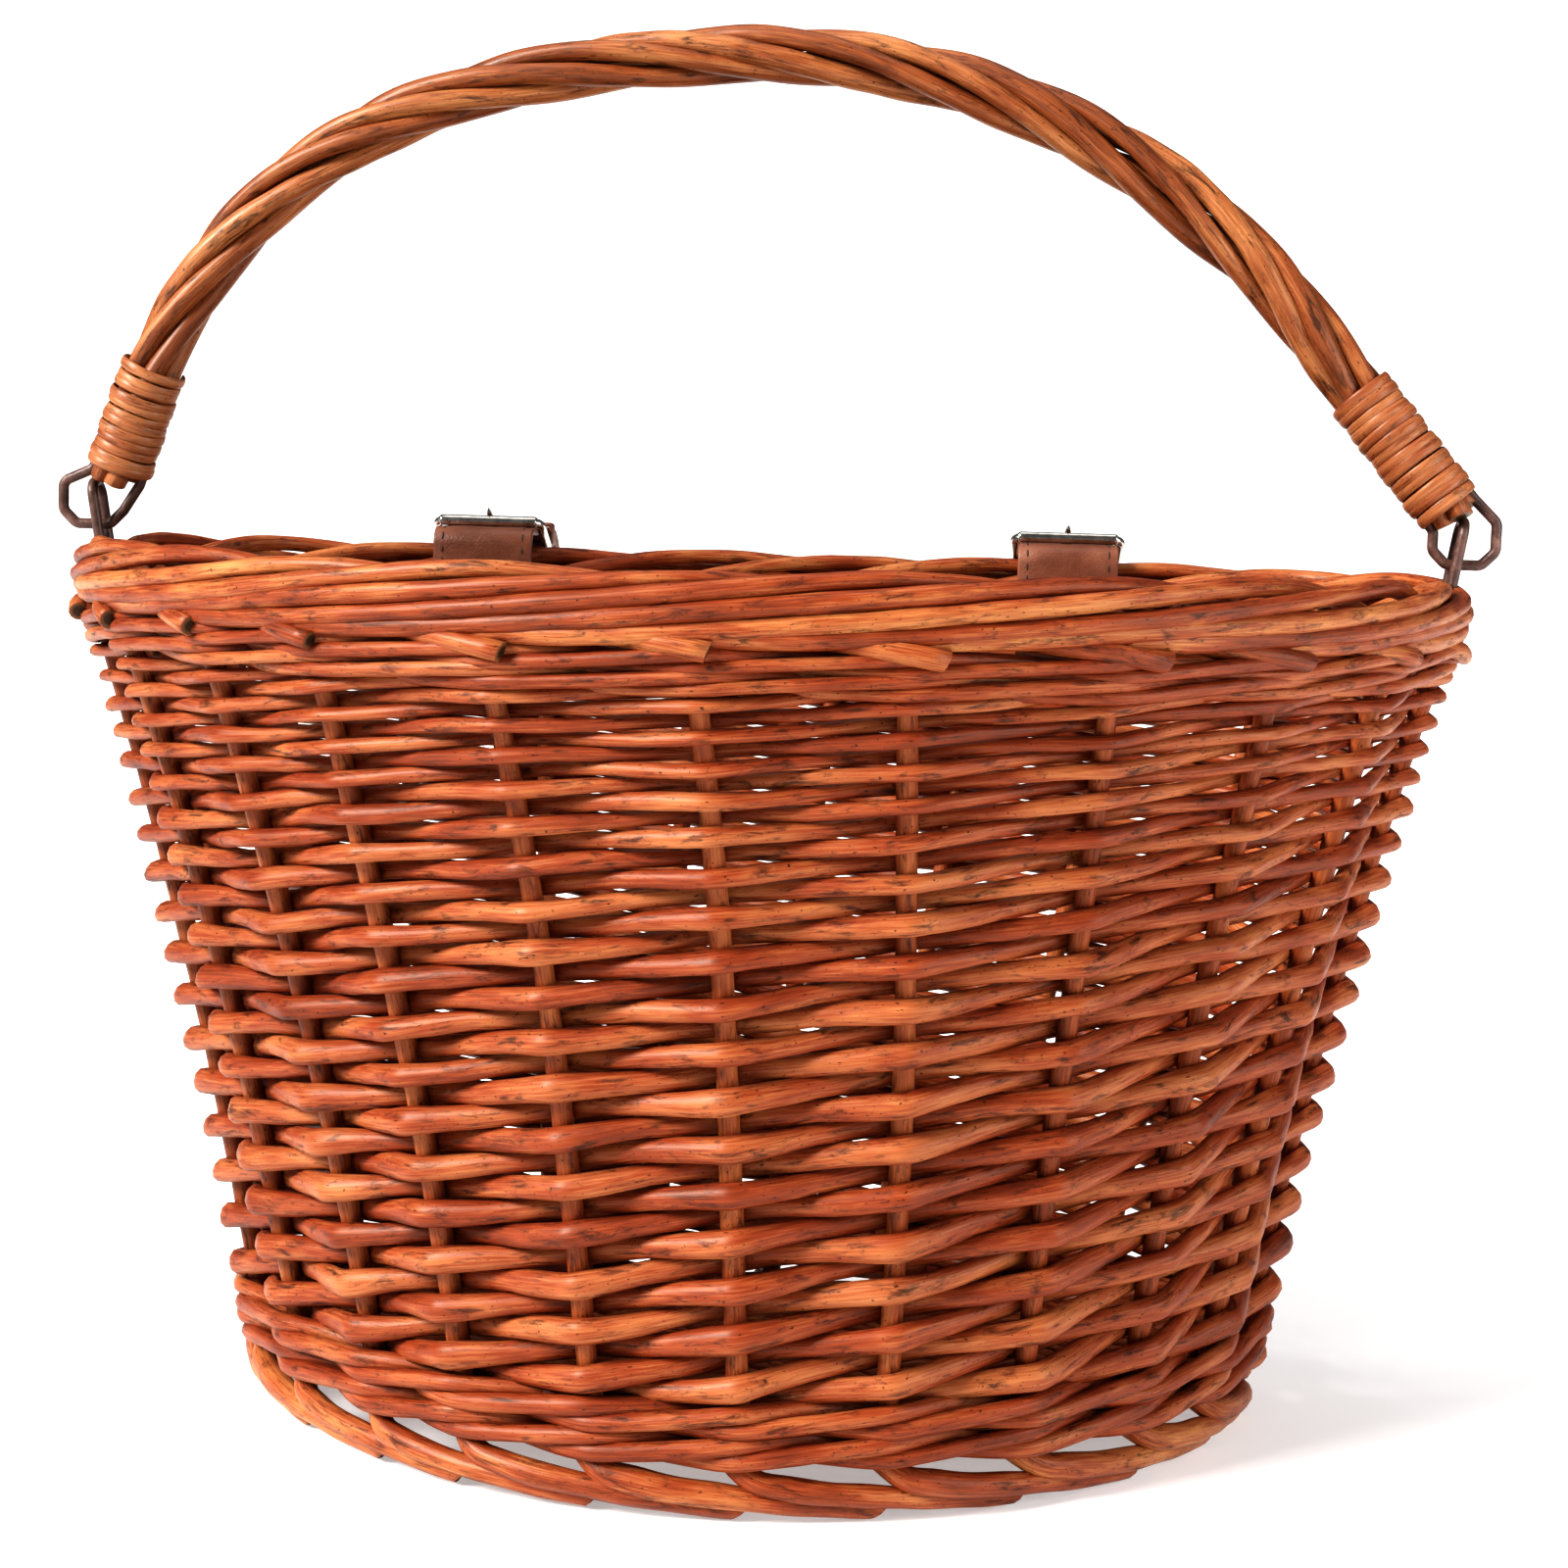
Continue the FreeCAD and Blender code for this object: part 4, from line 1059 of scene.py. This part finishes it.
PALE, FLOOR_HALF = 0.80, 12000.0
FLOOR_GLOW = 0.3            # keeps the shadows on the floor pale
material, tree, shader = new_material("pale_floor")
shader.inputs["Base Color"].default_value = grey(PALE)
shader.inputs["Roughness"].default_value = 0.9
shader.inputs["Specular IOR Level"].default_value = 0.1
shader.inputs["Emission Color"].default_value = grey(1.0)
shader.inputs["Emission Strength"].default_value = FLOOR_GLOW
half = FLOOR_HALF * MM
corners = [(-half, -half, 0), (half, -half, 0), (half, half, 0), (-half, half, 0)]
floor = plain("floor", corners, [(0, 1, 2, 3)], material)

# the background is white, and gives only a little light
world = bpy.data.worlds.new("studio")
scene.world = world
world.use_nodes = True
tree = world.node_tree
backdrop = tree.nodes["Background"]
backdrop.inputs["Color"].default_value = grey(1.0)
soft = node(tree, "ShaderNodeBackground", in_Color=(0.97, 0.98, 1.0, 1.0), in_Strength=0.14)
path = node(tree, "ShaderNodeLightPath")
either = node(tree, "ShaderNodeMixShader")
tree.links.new(path.outputs["Is Camera Ray"], either.inputs["Fac"])
tree.links.new(soft.outputs["Background"], either.inputs[1])
tree.links.new(backdrop.outputs["Background"], either.inputs[2])
tree.links.new(either.outputs["Shader"], tree.nodes["World Output"].inputs["Surface"])


def lamp(name, kind, spot, target, size, power, colour=(1.0, 1.0, 1.0)):
    """A lamp at a spot that points at a target; a sun's size is an angle, an area's is in metres."""
    data = bpy.data.lights.new(name, kind)
    data.energy = power
    data.color = colour
    if kind == "SUN":
        data.angle = size
    else:
        data.size = size
    made = bpy.data.objects.new(name, data)
    scene.collection.objects.link(made)
    made.location = Vector(spot) * MM
    direction = Vector(target) * MM - made.location
    made.rotation_euler = direction.to_track_quat("-Z", "Y").to_euler()


lamp("key", "SUN", (-690, -470, 690), (0, 0, 130), 0.45, 5.5, (1.0, 0.975, 0.95))
lamp("top", "AREA", (0, 100, 1500), (0, 0, 100), 1.0, 4.0)
lamp("fill", "AREA", (1200, -560, 500), (0, 0, 130), 0.8, 9.0)

CAMERA_SPOT = Vector((53.6, -729.4, 234.5)) * MM
YAW, PITCH, ROLL = 0.0636, 0.0975, 0.0294
camera_data = bpy.data.cameras.new("camera")
camera_data.sensor_width = 36.0
camera_data.lens = 67.04
camera_data.clip_start = 0.01
camera_data.clip_end = 100.0
camera = bpy.data.objects.new("camera", camera_data)
scene.collection.objects.link(camera)
right = Vector((math.cos(YAW), math.sin(YAW), 0.0))
ahead = Vector((-math.sin(YAW), math.cos(YAW), 0.0))
up = Vector((0.0, 0.0, 1.0))
ahead, up = ahead * math.cos(PITCH) - up * math.sin(PITCH), up * math.cos(PITCH) + ahead * math.sin(PITCH)
right, up = right * math.cos(ROLL) + up * math.sin(ROLL), up * math.cos(ROLL) - right * math.sin(ROLL)
camera.matrix_world = Matrix(((right.x, up.x, -ahead.x, CAMERA_SPOT.x), (right.y, up.y, -ahead.y, CAMERA_SPOT.y),
                              (right.z, up.z, -ahead.z, CAMERA_SPOT.z), (0, 0, 0, 1)))
scene.camera = camera
